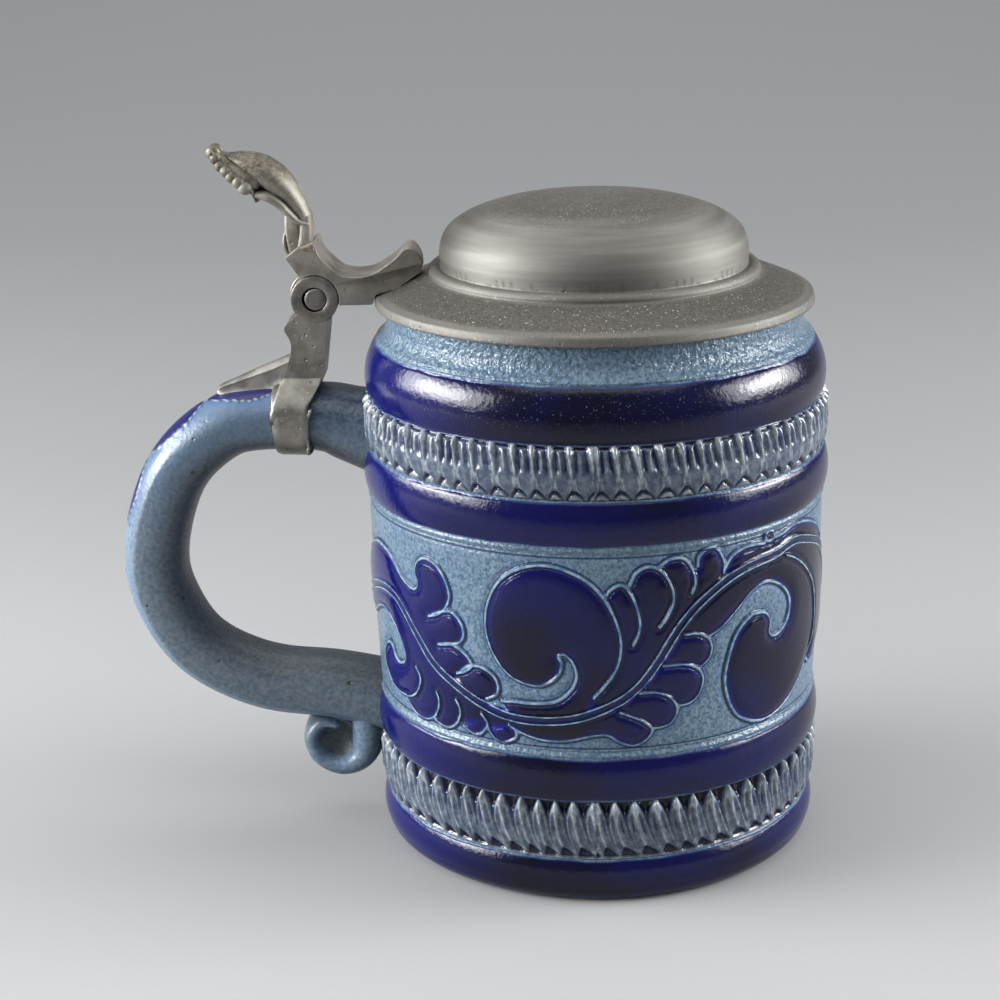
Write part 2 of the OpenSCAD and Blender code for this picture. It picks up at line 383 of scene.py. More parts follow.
def ground_colour(m):
    """Mottled grey-blue salt glaze."""
    fine = m.noise(1450, 2, 0.5, distortion=0.5)
    broad = m.noise(120, 2)
    base = m.blend(fine, 0.30, 0.68, (62, 85, 109), (106, 126, 139))
    base = m.mix(m.ramp(broad, 0.4, 0.7, 0.0, 0.3), base, (72, 94, 118))
    specks = m.ramp(m.noise(1900, 1), 0.72, 0.78, 0.0, 0.5)
    return m.mix(specks, base, (160, 170, 176)), fine


def cobalt_colour(m):
    """Cobalt under the glaze, nearly black where it lies thick, and bluer towards -X as painted light."""
    drift = m.noise(60, 3, 0.6)
    base = m.blend(drift, 0.35, 0.75, (3, 3, 23), (4, 5, 46))
    pool = m.ramp(m.noise(26, 2, 0.5), 0.42, 0.66)
    # Painted light: lighter blue towards -X, the side the left lamps light, over lighter pools at random.
    lit_side = m.ramp(m.axis(0), -0.014, -0.044, 0.0, 0.75)
    base = m.mix(m.most(lit_side, m.mul(pool, 0.40)), base, (6, 9, 88))
    high = m.ramp(m.axis(2), 0.097, 0.104, 0.06, 1.0)
    dust = m.mul(m.ramp(m.noise(3000, 0), 0.76, 0.78, 0.0, 0.34), high)
    return m.mix(dust, base, (130, 134, 150))


def glaze_bump(m, fine, glassy, depth=0.0005, swell=1.0):
    """Orange peel of the salt glaze, melted nearly smooth where 'glassy' is 1."""
    peel = m.noise(900, 2, 0.5)
    both = m.add(m.mul(peel, 0.75), m.mul(fine, 0.25))
    both = m.mul(both, swell)
    return m.height(m.mul(both, m.ramp(glassy, 0, 1, 1.0, 0.22)), depth, 0.8)


def stoneware_bands():
    """Vessel: ground on neck, grooves and inside, cobalt on the bulged bands."""
    m = Mat("stoneware_bands")
    ground, fine = ground_colour(m)
    z = m.add(m.axis(2), m.centred(m.noise(140, 2), 0.0007))
    mask = None
    for lo, hi in ((0.9, 9.5), (22.9, 31.9), (76.5, 85.5), (96.6, 107.7)):
        part = m.mul(m.ramp(z, (lo - 0.15) * MM, (lo + 0.35) * MM),
                      m.ramp(z, (hi - 0.35) * MM, (hi + 0.15) * MM, 1.0, 0.0))
        mask = part if mask is None else m.most(mask, part)
    mask = m.mul(mask, m.attr("outer"))
    edge = m.mul(m.sub(1.0, m.abs(m.math("MULTIPLY_ADD", mask, 2.0, -1.0))), 0.7)
    colour = m.mix(mask, ground, cobalt_colour(m))
    colour = m.mix(edge, colour, (28, 56, 122))
    inside = m.blend(m.noise(120, 3), 0.3, 0.7, (120, 128, 134), (146, 150, 150))
    colour = m.mix(m.attr("outer"), inside, colour)
    neck = m.ramp(z, 0.1075, 0.1085)
    rough = m.sub(m.ramp(mask, 0, 1, 0.22, 0.18), m.mul(neck, 0.09))
    return m.set(Base_Color=colour, Roughness=rough, Specular_IOR_Level=0.36,
                 Normal=glaze_bump(m, fine, mask, 0.0005, m.math("MULTIPLY_ADD", neck, 0.9, 1.0)))


def stoneware_frieze():
    """Field: ground with raised cobalt scrolls inside thin outlines, lighter on their ridges as a painted
    highlight and dark in their grooves as painted shade.
    """
    m = Mat("stoneware_frieze")
    ground, fine = ground_colour(m)
    wobble = m.centred(m.noise(900, 2), 0.30)
    fill, rim = m.attr("fill"), m.attr("rim")
    line, stem = m.length("line"), m.length("stem")
    halo = m.mul(m.ramp(fill, 0.5, 2.4, 0.45, 0.0), m.ramp(m.noise(200, 2), 0.3, 0.7, 0.2, 1.0))
    colour = m.mix(halo, ground, (70, 100, 150))
    thin = m.mul(m.ramp(fill, -1.7, -0.2), m.ramp(m.noise(110, 2), 0.35, 0.65, 0.15, 1.0))
    cobalt = m.mix(thin, cobalt_colour(m), (7, 15, 104))
    colour = m.mix(m.ramp(m.add(fill, wobble), -0.15, 0.12, 1.0, 0.0), colour, cobalt)
    # Painted shade: dark colour in the groove beside each line.
    groove = m.ramp(m.abs(m.sub(line, 0.58)), 0.10, 0.30, 0.85, 0.0)
    colour = m.mix(groove, colour, (14, 22, 52))
    # Painted highlight: light colour along the raised lines and the stem's raised edges.
    painted_line_light = m.blend(m.noise(600, 2), 0.35, 0.65, (76, 110, 142), (134, 160, 178))
    on_line = m.ramp(m.add(line, m.mul(wobble, 0.5)), 0.12, 0.30, 0.95, 0.0)
    colour = m.mix(on_line, colour, painted_line_light)
    side = m.abs(m.sub(stem, 0.78))
    # Painted shade: dark colour in the dip down the middle of the stem.
    colour = m.mix(m.ramp(stem, 0.25, 0.55, 0.7, 0.0), colour, (18, 26, 70))
    on_stem = m.ramp(m.add(side, m.mul(wobble, 0.5)), 0.08, 0.24, 0.95, 0.0)
    colour = m.mix(on_stem, colour, painted_line_light)
    # Painted shade: dark colour in the groove along the edges of the field.
    cut = m.ramp(m.abs(m.sub(rim, 0.95)), 0.08, 0.24, 0.85, 0.0)
    colour = m.mix(cut, colour, (24, 36, 76))
    drawn = m.sub(m.most(on_line, on_stem), m.most(groove, cut))
    normal = m.height(drawn, 0.00016, 0.9, glaze_bump(m, fine, m.ramp(fill, -0.3, 0.3, 1.0, 0.0), 0.0004))
    return m.set(Base_Color=colour, Roughness=m.ramp(fill, -0.4, 0.4, 0.15, 0.26), Specular_IOR_Level=0.36,
                 Normal=normal)


def stoneware_gadroons():
    """Pressed leaf rows: light ribs, thin cobalt in the hollows, painted shade near black in the deepest ones
    and a painted highlight on the leaf tips.
    """
    m = Mat("stoneware_gadroons")
    wash_and_painted_light, fine = m.attr("wash_and_painted_light"), m.noise(700, 3, 0.6)
    wash_and_painted_light = m.add(wash_and_painted_light, m.centred(m.noise(420, 3, 0.6), 0.45))
    rib = m.blend(fine, 0.35, 0.65, (98, 106, 115), (142, 150, 158))
    body = m.blend(fine, 0.35, 0.65, (52, 64, 84), (84, 94, 106))
    deep = m.blend(fine, 0.4, 0.7, (12, 20, 60), (24, 38, 88))
    # The leaf tips also take the light rib colour, as a painted highlight.
    colour = m.blend(wash_and_painted_light, -0.35, 0.15, rib, body)
    colour = m.blend(wash_and_painted_light, 0.35, 0.65, colour, deep)
    # Painted shade: near black in the arches and gaps between the leaves.
    colour = m.blend(wash_and_painted_light, 0.85, 1.15, colour, (14, 14, 26))
    colour = m.mix(m.attr("cobalt"), colour, (20, 17, 62))
    return m.set(Base_Color=colour, Roughness=0.2, Specular_IOR_Level=0.55,
                 Normal=glaze_bump(m, fine, m.attr("cobalt"), 0.00008))


def stoneware_handle():
    """Handle: washed blue on the outer side, grey-brown inside, cobalt leaves on the crest, with a painted
    highlight on each bead of their outlines and painted shade between the beads.
    """
    m = Mat("stoneware_handle")
    fine, broad = m.noise(1100, 3, 0.6), m.noise(80, 2, 0.5)
    out = m.attr("outward")
    outer = m.blend(fine, 0.3, 0.7, (80, 102, 126), (112, 130, 146))
    middle = m.blend(fine, 0.3, 0.7, (68, 82, 96), (94, 106, 116))
    inner = m.blend(fine, 0.3, 0.7, (52, 60, 70), (76, 82, 86))
    shade = m.add(out, m.centred(broad, 0.5))
    colour = m.blend(shade, -0.75, -0.05, inner, middle)
    colour = m.blend(shade, 0.2, 0.85, colour, outer)
    high = m.mul(m.attr("upper"), m.ramp(fine, 0.3, 0.6, 0.2, 0.6))
    colour = m.mix(high, colour, (64, 88, 114))
    pits = m.ramp(m.cells(230), 0.085, 0.13, 1.0, 0.0)
    pits = m.mul(pits, m.ramp(m.noise(150, 1), 0.52, 0.56))
    colour = m.mix(m.mul(pits, 0.85), colour, (34, 32, 34))
    leaf, bead = m.attr("leaf"), m.attr("bead")
    # Painted highlight on each bead of the leaf outlines, painted shade between the beads.
    painted_line_light = m.mix(bead, (40, 48, 62), (132, 152, 168))
    blue = m.mix(m.ramp(leaf, 0.3, 3.0, 0.6, 0.0), colour, (50, 84, 134))
    colour = m.blend(leaf, 0.2, 0.5, cobalt_colour(m), blue)
    colour = m.mix(m.ramp(m.abs(leaf), 0.18, 0.42, 0.9, 0.0), colour, painted_line_light)
    colour = m.mix(m.attr("root"), colour, m.blend(fine, 0.3, 0.7, (44, 54, 68), (72, 88, 104)))
    normal = m.height(fine, 0.00016, 0.7)
    normal = m.height(broad, 0.0005, 0.3, normal)
    normal = m.height(m.mul(pits, -1.0), 0.0002, 0.8, normal)
    return m.set(Base_Color=colour, Roughness=m.ramp(out, -0.4, 0.6, 0.42, 0.34), Specular_IOR_Level=0.5,
                 Normal=normal)


def turned_pewter():
    """Lid: concentric tool marks, dust and pits on the flange and the crown, and painted shade darkening the
    crown.
    """
    m = Mat("turned_pewter")
    rings = m.noise(1.0, 4, 0.7, m.polar(2600, 1.2, 2600))
    broad = m.noise(1.0, 3, 0.6, m.polar(320, 0.8, 420))
    cloud = m.noise(55, 4, 0.65)
    dust_and_shade = m.attr("dust_and_shade")
    grit = m.noise(1500, 3, 0.7)
    base = m.blend(broad, 0.3, 0.7, (115, 114, 110), (137, 136, 132))
    base = m.mix(m.ramp(cloud, 0.35, 0.7, 0.0, 0.4), base, (114, 112, 106))
    dull_and_shaded_tone = m.blend(grit, 0.35, 0.68, (78, 76, 72), (101, 99, 94))
    # Darker where the mask is high: dull, dusty metal on the flange, rim and underside, and painted shade on
    # the crown.
    base = m.mix(m.mul(dust_and_shade, 0.9), base, dull_and_shaded_tone)
    lint = m.mul(m.ramp(m.cells(1250), 0.12, 0.24, 1.0, 0.0), m.ramp(m.noise(420, 3, 0.7), 0.46, 0.56))
    flecks = m.mul(m.most(lint, m.ramp(m.noise(2600, 2, 0.8), 0.66, 0.71)),
                    m.mul(dust_and_shade, m.ramp(m.noise(75, 3, 0.7), 0.36, 0.58, 0.35, 1.0)))
    base = m.mix(flecks, base, (196, 196, 190))
    pits = m.ramp(m.cells(420), 0.10, 0.17, 1.0, 0.0)
    pits = m.mul(pits, m.mul(dust_and_shade, m.ramp(m.noise(260, 1), 0.5, 0.56)))
    base = m.mix(m.mul(pits, 0.7), base, (66, 64, 58))
    rough = m.math("MULTIPLY_ADD", rings, 0.14, 0.60)
    normal = m.height(rings, 0.00004, 0.6)
    normal = m.height(m.mul(grit, dust_and_shade), 0.00002, 0.4, normal)
    normal = m.height(m.mul(pits, -1.0), 0.00015, 0.7, normal)
    turned = m.node("Tangent", 0, {}, direction_type="RADIAL", axis="Z")
    return m.set(Base_Color=base, Metallic=1.0, Roughness=rough, Normal=normal,
                 Anisotropic=m.ramp(dust_and_shade, 0.0, 0.8, 0.5, 0.05),
                 Anisotropic_Rotation=0.25, Tangent=turned)


def cast_pewter(name, dark, light, rough=0.4, pit=0.3, grain=0.00006, top_shade=None, metal=1.0):
    """Cast, filed and handled pewter: clouded colour, fine scratches and small pits, and where asked, painted
    shade darkening it towards the top.
    """
    m = Mat(name)
    cloud, fine = m.noise(210, 4, 0.65), m.noise(1400, 3, 0.7)
    base = m.blend(cloud, 0.3, 0.7, dark, light)
    base = m.mix(m.ramp(fine, 0.60, 0.72, 0.0, 0.35), base, [min(255, c + 45) for c in light])
    if top_shade:
        # Painted shade: darker, browner colour towards the top, over the thumblift's lobe and the web by its
        # beads.
        high = m.mul(m.ramp(m.axis(2), *top_shade), m.ramp(m.noise(520, 3, 0.6), 0.3, 0.6, 0.45, 0.95))
        base = m.mix(high, base, m.blend(fine, 0.35, 0.65, (78, 74, 64), (124, 118, 104)))
    filed = m.node("Mapping", 0, {"Scale": (300, 300, 5200), "Rotation": (0.0, 0.5, 0.0), "Vector": m.where})
    scratch = m.noise(1.0, 2, 0.5, filed)
    lines = m.ramp(scratch, 0.67, 0.72, 0.0, 0.14)
    base = m.mix(lines, base, [min(255, c + 60) for c in light])
    pits = m.mul(m.ramp(m.cells(520), 0.10, 0.18, 1.0, 0.0), m.ramp(m.noise(330, 1), 0.5, 0.58))
    base = m.mix(m.mul(pits, pit * 2), base, (54, 50, 44))
    normal = m.height(fine, grain, 0.6)
    normal = m.height(cloud, 0.0002, 0.35, normal)
    normal = m.height(m.mul(pits, -1.0), 0.00012, 0.8, normal)
    wear = m.add(m.ramp(cloud, 0.3, 0.7, rough - 0.06, rough + 0.08), m.mul(lines, -0.2))
    return m.set(Base_Color=base, Metallic=metal, Roughness=wear, Normal=normal)


def solder_brass():
    m = Mat("solder_brass")
    cloud = m.noise(900, 3, 0.6)
    base = m.blend(cloud, 0.35, 0.65, (98, 90, 70), (140, 131, 108))
    return m.set(Base_Color=base, Metallic=0.9, Roughness=m.ramp(cloud, 0.3, 0.7, 0.36, 0.5),
                 Normal=m.height(cloud, 0.00015, 0.6))


# ---------------------------------------------------------------- vessel
OUTSIDE = outline(
    (0, 0), (F - 5.6, 0), (F - 1.9, 3.4, 0.85), (F - 2.3, 9.4, 0.7),
    (F - 2.5, 9.6), (F - 2.0, 22.6, 1.0),
    (F - 1.6, 22.8), (F - 1.3, 31.6, 0.85),
    (F - 1.55, 31.9), (F - 1.65, 32.15), (F - 1.3, 32.45), (F - 1.25, 32.7), (F - 1.5, 32.95),
    (F - 1.6, 33.2), (F - 0.4, H - 41.0, 0.3),
    (F - 0.3, H - 40.7), (F - 0.1, H - 40.45), (F - 0.15, H - 40.2), (F - 0.45, H - 39.95),
    (F - 0.4, H - 39.75))
OUTSIDE += bow((F - 0.1, H - 39.6), (F - 0.1, H - 31), 0.8) + outline(
    (F - 0.6, H - 30.6), (F - 0.6, H - 19.5, 1.0),
    (F - 0.7, H - 19.2), (F - 2.3, H - 8.7, 1.25),
    (F - 2.65, H - 8.5), (F - 2.85, H - 8.3), (F - 2.7, H - 8.05), (F - 2.75, H - 7.85), (F - 3.05, H - 7.7),
    (F - 3.1, H - 7.5), (F - 5, H - 4.2, -0.45),
    (F - 5, H - 2.5), (F - 5, H - 1), (F - 6, H, 0.25, 8))
INSIDE = [(F - 7, H)] + bow((F - 7.6, H), (F - 8.8, H - 1.4), 0.3, 8) + outline(
    (F - 8.8, H - 6), (F - 6.2, H - 14, -0.3, 10), (F - 6.2, 60), (F - 6.2, 18.5), (F - 18.2, 6.5, -3.4, 20),
    (14, 6.5), (0, 6.5))
OUT = np.array(OUTSIDE)
RELIEF = ((9.5, 22.8), (33.2, H - 41.0), (H - 30.6, H - 19.3))  # heights of the three relief rings


def build_vessel():
    """Lathe of the whole vessel, drawn in behind the three rings that carry relief."""
    prof = []
    for r, z in OUTSIDE:
        hidden = (9.7 < z < 22.5) or (33.3 < z < H - 41.1) or (H - 30.5 < z < H - 19.6)
        prof.append((r - (1.6 if hidden else 0.0), z))
    outer = [1.0] * len(OUTSIDE) + [0.0] * len(INSIDE)
    return lathe("vessel_bands", prof + INSIDE, {"outer": outer})


def relief_ring(name, th, z, height, attrs):
    """Skin round the vessel at angle th and height z, its two edges sunk into the body."""
    r = np.interp(z, OUT[1:, 1], OUT[1:, 0]) + height
    r[:, [0, -1]] -= 0.5
    return grid(np.stack([r * np.sin(th), -r * np.cos(th), z], -1), wrap_u=True, name=name, attrs=attrs,
                merge=0)


# Frieze curves on the unrolled field: u runs round the vessel from the front
# towards +X, z is the height, both in mm. The design repeats every half turn.
A = [(-80, 61.0), (-78, 60.8), (-74, 61.6), (-70, 63.2), (-62, 66.7), (-57, 68.0), (-51, 67.2), (-46, 63.7),
     (-43, 62.4), (-40.9, 62.5), (-40, 64), (-40.8, 65.9), (-40.4, 68), (-38.6, 69.5), (-36.6, 69.8),
     (-33.8, 68.7), (-31.8, 66.2), (-31, 63.2), (-32.2, 60.5), (-34.5, 58.6), (-37, 57.7)]
B = [(-35.8, 58.4), (-33, 59.6), (-30.5, 60), (-28.3, 58.2), (-27.7, 55.7), (-29, 53.8), (-31.5, 52.9),
     (-34.5, 52.2)]
C = [(-33.2, 52.6), (-30.5, 53), (-27.5, 51.7), (-26, 49.7), (-27.3, 48.2), (-29.8, 47)]
D = [(-28.6, 48), (-26.5, 49.4), (-23.5, 49.6), (-21, 48.2), (-20.1, 46.2), (-20.6, 44.2), (-22.8, 42.9)]
E = [(-19.4, 43.1), (-16, 43.4), (-13, 43.4), (-8, 44.2), (-5, 46.7), (-3.8, 49.7), (-4.5, 52.7),
     (-6.2, 54.4), (-7.4, 53.9), (-6.8, 52.4), (-7.5, 49.9), (-10, 47.8), (-13, 47.4), (-17, 48.7),
     (-20, 51.7), (-22, 56), (-22.4, 60), (-21.6, 64), (-19.3, 68.3), (-15, 71.5), (-9.5, 72.6), (-4, 71),
     (0, 68), (3, 63.4), (4.6, 58.4), (4.6, 54.2), (3.5, 50.7), (1.5, 47.7), (-0.5, 45.3)]
G = [(-74, 52.7), (-70, 54), (-66, 55.7), (-60, 58), (-55, 59.3), (-50, 59.4), (-46, 57.7), (-41, 53.2),
     (-36, 48.2), (-30, 44.7), (-22, 41.2), (-15, 39.9), (-5, 40.7), (3, 43.7), (8, 47.2), (12, 52.2),
     (16, 58.7), (20, 63.2), (26, 67.2), (32, 69.2), (40, 70), (46, 71), (52, 69.7), (60, 66.7), (65, 62.7),
      (69, 57.7), (72, 53.8), (74.28, 52.7)]
HK = [(-78, 45.8), (-72, 48), (-66, 50.2), (-61, 52.7), (-57, 54.1), (-54, 54.1), (-50.5, 52.5),
      (-47.5, 49.5), (-46, 46.8), (-46.9, 44.8), (-49.3, 44.1), (-51, 45), (-52.1, 46.6), (-54, 47),
      (-55.8, 45.9), (-57.3, 43.6), (-56.8, 40.8), (-54, 38.1), (-49.5, 37.3), (-45, 37.9), (-42, 39.6),
      (-40.4, 42), (-40.2, 44), (-41.5, 45.6)]
I1 = [(-46.7, 37.2), (-44.3, 35), (-41.2, 34.2), (-37.8, 35.2), (-35.5, 37.5), (-34.7, 40), (-35.3, 41.8)]
I2 = [(-37.2, 35.3), (-33.8, 34.2), (-31.1, 35.5), (-29.4, 37.8), (-29.1, 39.8), (-30, 41.4)]
I3 = [(-28.8, 35.8), (-25.6, 34.6), (-23.4, 36.3), (-22.7, 38), (-23.9, 39.7)]
I4 = [(-22.7, 36.6), (-21.3, 34.7), (-18.8, 34.2), (-16.6, 35.6), (-16.7, 37.3), (-17.9, 38.2)]
J = [(-17.4, 37.8), (-14.3, 36.5), (-10.5, 35.7), (-6, 35.9), (-0.8, 37.1), (2.3, 37.2), (4.5, 35.8),
     (7.5, 34.8), (10.1, 36.1), (11.1, 38), (9.2, 39.9), (6.8, 41.2), (4.8, 42)]
R1 = [(8.6, 45.9), (12, 45.9), (15, 44.3), (16.3, 41.7), (15.2, 39.2), (13.1, 38.3), (11.3, 38.3)]
R2 = [(13.3, 51.3), (18, 51.1), (20.7, 49.6), (21.8, 47.2), (20.8, 44.2), (18.9, 42.7), (16.9, 42.5)]
R3 = [(17.5, 57.5), (20.6, 57.2), (22.9, 55.6), (23.6, 53.4), (22.9, 51.5), (21.5, 50.4)]
M = [(22.8, 56.3), (25.5, 57.5), (29.3, 60.5), (33, 63.5), (36.8, 64.6), (40.5, 63.6), (43.9, 61.2),
     (45.6, 58.2), (45, 54.8), (42.8, 52.8), (40.3, 52.3), (38.7, 53.5), (38.9, 56), (37.5, 57.9),
     (35.3, 58.5), (32.6, 58.1), (29.4, 55.2), (27.5, 50), (27, 45.5), (28.5, 40.6), (31.1, 37.2), (35.3, 35),
     (39.8, 34.4), (45, 35.7), (49.5, 38), (54, 41.7), (56.7, 44.8), (58.1, 49.2), (58.1, 53), (56.4, 58.2),
     (53.3, 62), (49.5, 65.3), (45.8, 67.6), (43.3, 68.7)]
N = [(55.6, 42.5), (57.2, 41.3), (60, 41.4), (64, 43), (70.28, 45.8)]
O1 = [(26.2, 69.6), (28, 72), (31, 73.1), (34, 73.1), (36.6, 72.8)]
O2 = [(39.8, 73.2), (42.5, 73.5), (46, 74.2), (51, 73.7), (57, 71.7), (62, 68.7), (66, 64.4), (68.28, 61)]
U1 = [(2.1, 66.7), (3.4, 68.3), (5.3, 68.6), (7.1, 66.1), (8.3, 62), (8.2, 59), (7.1, 56.3)]
U2 = [(6.6, 68.6), (7.9, 71.2), (10.2, 72.2), (12.8, 71), (14.6, 68), (15, 65), (13.9, 62), (12.3, 59.7)]
U3 = [(12.4, 72), (14.6, 73.4), (17.3, 73.1), (19.1, 70.6), (19.5, 68), (18.8, 66)]
U4 = [(20.2, 71.2), (20.6, 73.3), (22.9, 74.7), (24.9, 73.6), (26.1, 71), (25.9, 69)]
BEAD = [(38.2 + 1.3 * math.cos(a), 74.0 + 1.1 * math.sin(a)) for a in np.linspace(0, 2 * np.pi, 13)]
LINES = [smooth(c) for c in (A, B, C, D, E, HK, I1, I2, I3, I4, J, R1, R2, R3, M, N, O1, O2, U1, U2, U3, U4,
                             BEAD)]
STEM = smooth(G)


def lst(curve, lo=0, hi=None):
    return [tuple(p) for p in smooth(curve[lo:hi])]


FILLS = [
    lst(A) + lst(B) + lst(C) + lst(D) + [(-22, 40.5), (-30, 43.2), (-37, 47.2), (-42, 52.2), (-47, 56.7),
                                         (-51, 58.2), (-60, 56.5), (-66, 54.2), (-72, 51.7), (-80, 51)],
    [(-80, 54), (-72, 55.2), (-66, 57.7), (-60, 59.5), (-50, 60.7), (-45.5, 58.7), (-40, 54.2), (-35, 49.2),
     (-29.5, 45.7), (-22, 42.2), (-15, 41), (-5, 41.7), (3, 44.7)] + lst(J)[::-1]
    + [(-18, 37.6), (-22, 37), (-28, 36.6), (-36, 36.2), (-44, 36.4), (-47, 37.5)] + lst(HK, 0, 19)[::-1],
    lst(E) + [(-1.5, 41.2), (-10, 38.7), (-18, 40.2)],
    [(-2, 42.2), (0, 50), (2, 58), (1, 65), (2.1, 66.7), (4, 67.7), (7, 67.7), (10, 70.7), (14, 70.7),
     (17.5, 71.2), (20, 70.2), (24, 72.3)] + lst(O1) + [(38.2, 72.4)] + lst(O2)
    + [(74.28, 51.7), (71, 52.7), (68, 56.7), (64, 61.5), (59.5, 65.2), (52, 68.2), (46, 69.5), (40, 68.5),
       (32, 67.7), (27, 66), (21, 62.2), (17, 58.2), (13, 51.7), (9, 46.2), (4, 42.5)],
    [(3, 44.7), (7, 48.2), (11, 53.2), (15, 59.7), (19.5, 64.5), (26, 68.4), (32, 70.2), (40, 71), (46, 72),
     (52.5, 70.8), (60.5, 67.8), (66, 63.7), (70, 58.2), (74.28, 54), (76, 53)] + [(72, 46.5)] + lst(N)[::-1]
    + lst(M, 0, 27)[::-1] + [(20.2, 57.5), (17, 56.2), (13, 51.2), (9, 47.2), (5, 42.2)],
    lst(I1), lst(I2), lst(I3), lst(I4), lst(BEAD),
    lst(R1) + [(9.2, 39.9), (4.8, 42), (5, 44.2)],
    lst(R2) + [(15.5, 43.7), (10, 46.2), (10, 49.2)],
    lst(R3) + [(19, 50.7), (13, 51.7), (15, 55.7)],
    lst(U1) + [(2, 58.2)], lst(U2) + [(7, 60.2)], lst(U3) + [(14, 66.2)], lst(U4) + [(20, 67.2)],
]


def offset(curves, u, z, reach=4.0):
    """Way (du, dz) from the nearest point of some polylines, no longer than 'reach'."""
    best = np.full(u.shape, reach)
    way = np.full(u.shape + (2,), reach * 0.7071)
    for curve in curves:
        for shift in (-HALF_TURN, 0.0, HALF_TURN):
            c = np.asarray(curve) + (shift, 0)
            lo, hi = c.min(0) - reach, c.max(0) + reach
            near = (u > lo[0]) & (u < hi[0]) & (z > lo[1]) & (z < hi[1])
            if not near.any():
                continue
            p = np.stack([u[near], z[near]], -1)
            b, w = best[near], way[near]
            for e, g in zip(c[:-1], c[1:]):
                d = g - e
                t = np.clip(((p - e) @ d) / max(d @ d, 1e-9), 0, 1)
                away = p - e - t[:, None] * d
                r = np.hypot(*away.T)
                hit = r < b
                b[hit], w[hit] = r[hit], away[hit]
            best[near], way[near] = b, w
    return best, way


def within(curve, u, z):
    """True inside a closed polyline, by the winding number."""
    curve = np.asarray(curve)
    inside = np.zeros(u.shape, bool)
    for shift in (-HALF_TURN, 0.0, HALF_TURN):
        c = curve + (shift, 0)
        lo, hi = c.min(0), c.max(0)
        near = (u > lo[0]) & (u < hi[0]) & (z > lo[1]) & (z < hi[1])
        if not near.any():
            continue
        x, y = u[near], z[near]
        wind = np.zeros(x.shape, int)
        for (x0, y0), (x1, y1) in zip(c, np.roll(c, -1, 0)):
            side = (x1 - x0) * (y - y0) - (x - x0) * (y1 - y0)
            wind += ((y0 <= y) & (y1 > y) & (side > 0)).astype(int)
            wind -= ((y0 > y) & (y1 <= y) & (side < 0)).astype(int)
        inside[near] |= wind != 0
    return inside


def build_frieze():
    """Ring of the plain field with the scrolls in relief."""
    z0, z1 = RELIEF[1]
    cols = 416
    rows = int(round((z1 - z0) / (HALF_TURN / cols))) + 1
    u = np.linspace(-78, -78 + HALF_TURN, cols, endpoint=False)
    uu, zz = np.meshgrid(u, np.linspace(z0, z1, rows), indexing="ij")
    line, line_way = offset(LINES, uu, zz)
    stem, stem_way = offset([STEM], uu, zz)
    fill = np.full(uu.shape, 4.0)
    for c in FILLS:
        c = np.asarray(c)
        d = offset([np.vstack([c, c[:1]])], uu, zz)[0]
        fill = np.minimum(fill, np.where(within(c, uu, zz), -d, d))
    rim = np.minimum(zz - z0, z1 - zz)
    h = 0.42 * step(-fill, -0.2, 0.8) + 0.22 * step(-fill, 0.6, 3.5)
    h += 0.20 * bump(line, 0.46) - 0.24 * bump(line - 0.82, 0.40)
    h += 0.16 * bump(stem - 0.78, 0.42) - 0.10 * bump(stem, 0.4) - 0.16 * bump(stem - 1.5, 0.42)
    h -= 0.22 * bump(rim - 0.95, 0.3)
    h *= step(rim, 0.0, 0.5)
    fields = {"fill": fill, "rim": rim}
    # the ways turn round half way between two lines, so _far masks them there
    for key, d, way, far in (("line", line, line_way, (0.9, 1.05)), ("stem", stem, stem_way, (1.1, 1.3))):
        fields |= {key + "_u": way[..., 0], key + "_z": way[..., 1], key + "_far": 4 * step(d, *far)}
    twice = {k: np.concatenate([x, x]) for k, x in fields.items()}
    th = np.concatenate([uu, uu + HALF_TURN]) / (2 * HALF_TURN) * 2 * np.pi
    return relief_ring("vessel_frieze", th, np.concatenate([zz, zz]), np.concatenate([h, h]) - 0.05, twice)


def lower_leaves(tt, off, mid, strong):
    """Spearheads with a ridge down the middle, over inverted chevrons."""
    spread = np.interp(tt, [0, 0.2, 0.4, 0.55, 0.68, 0.78, 0.86, 0.93, 1],
                       [0.46, 0.44, 0.43, 0.41, 0.36, 0.29, 0.19, 0.09, 0.02])
    tip = bump(off + 0.04, 0.14) * bump(tt - 0.86, 0.09)
    rib = 0.8 * bump(off - spread, 0.06) * step(tt, 0.04, 0.16) * (1 - 0.5 * step(tt, 0.75, 0.9))
    rib += (bump(off, 0.08 + 0.10 * step(tt, 0.55, 0.8)) * step(tt, 0.10, 0.22)
            * (1 - 0.45 * bump(tt - 0.5, 0.13)))
    body = np.sqrt(np.clip(1 - (off / spread) ** 2, 0, 1)) * step(tt, 0.12, 0.35)
    hollow = (0.75 * bump(off - 0.55 * spread, 0.09) * step(tt, 0.40, 0.55)
              * (1 - step(tt, 0.74, 0.84)) * strong)
    hollow += bump(mid, 0.07 + 0.10 * step(tt, 0.5, 0.8)) * step(tt, 0.16, 0.4)
    roof = np.clip(1 - off / 0.43, 0, 1) * 0.19 + 0.085
    arch = step(roof - tt, 0.0, 0.035) * step(tt, 0.035 + 0.04 * off, 0.075 + 0.04 * off)
    cup = bump(tt - 0.035 - 0.03 * off, 0.028)
    gap = step(tt - (0.74 + 0.22 * np.clip(1 - off / 0.42, 0, 1) ** 0.7), 0.0, 0.07)
    return rib, body, hollow, tip, cup, arch, gap


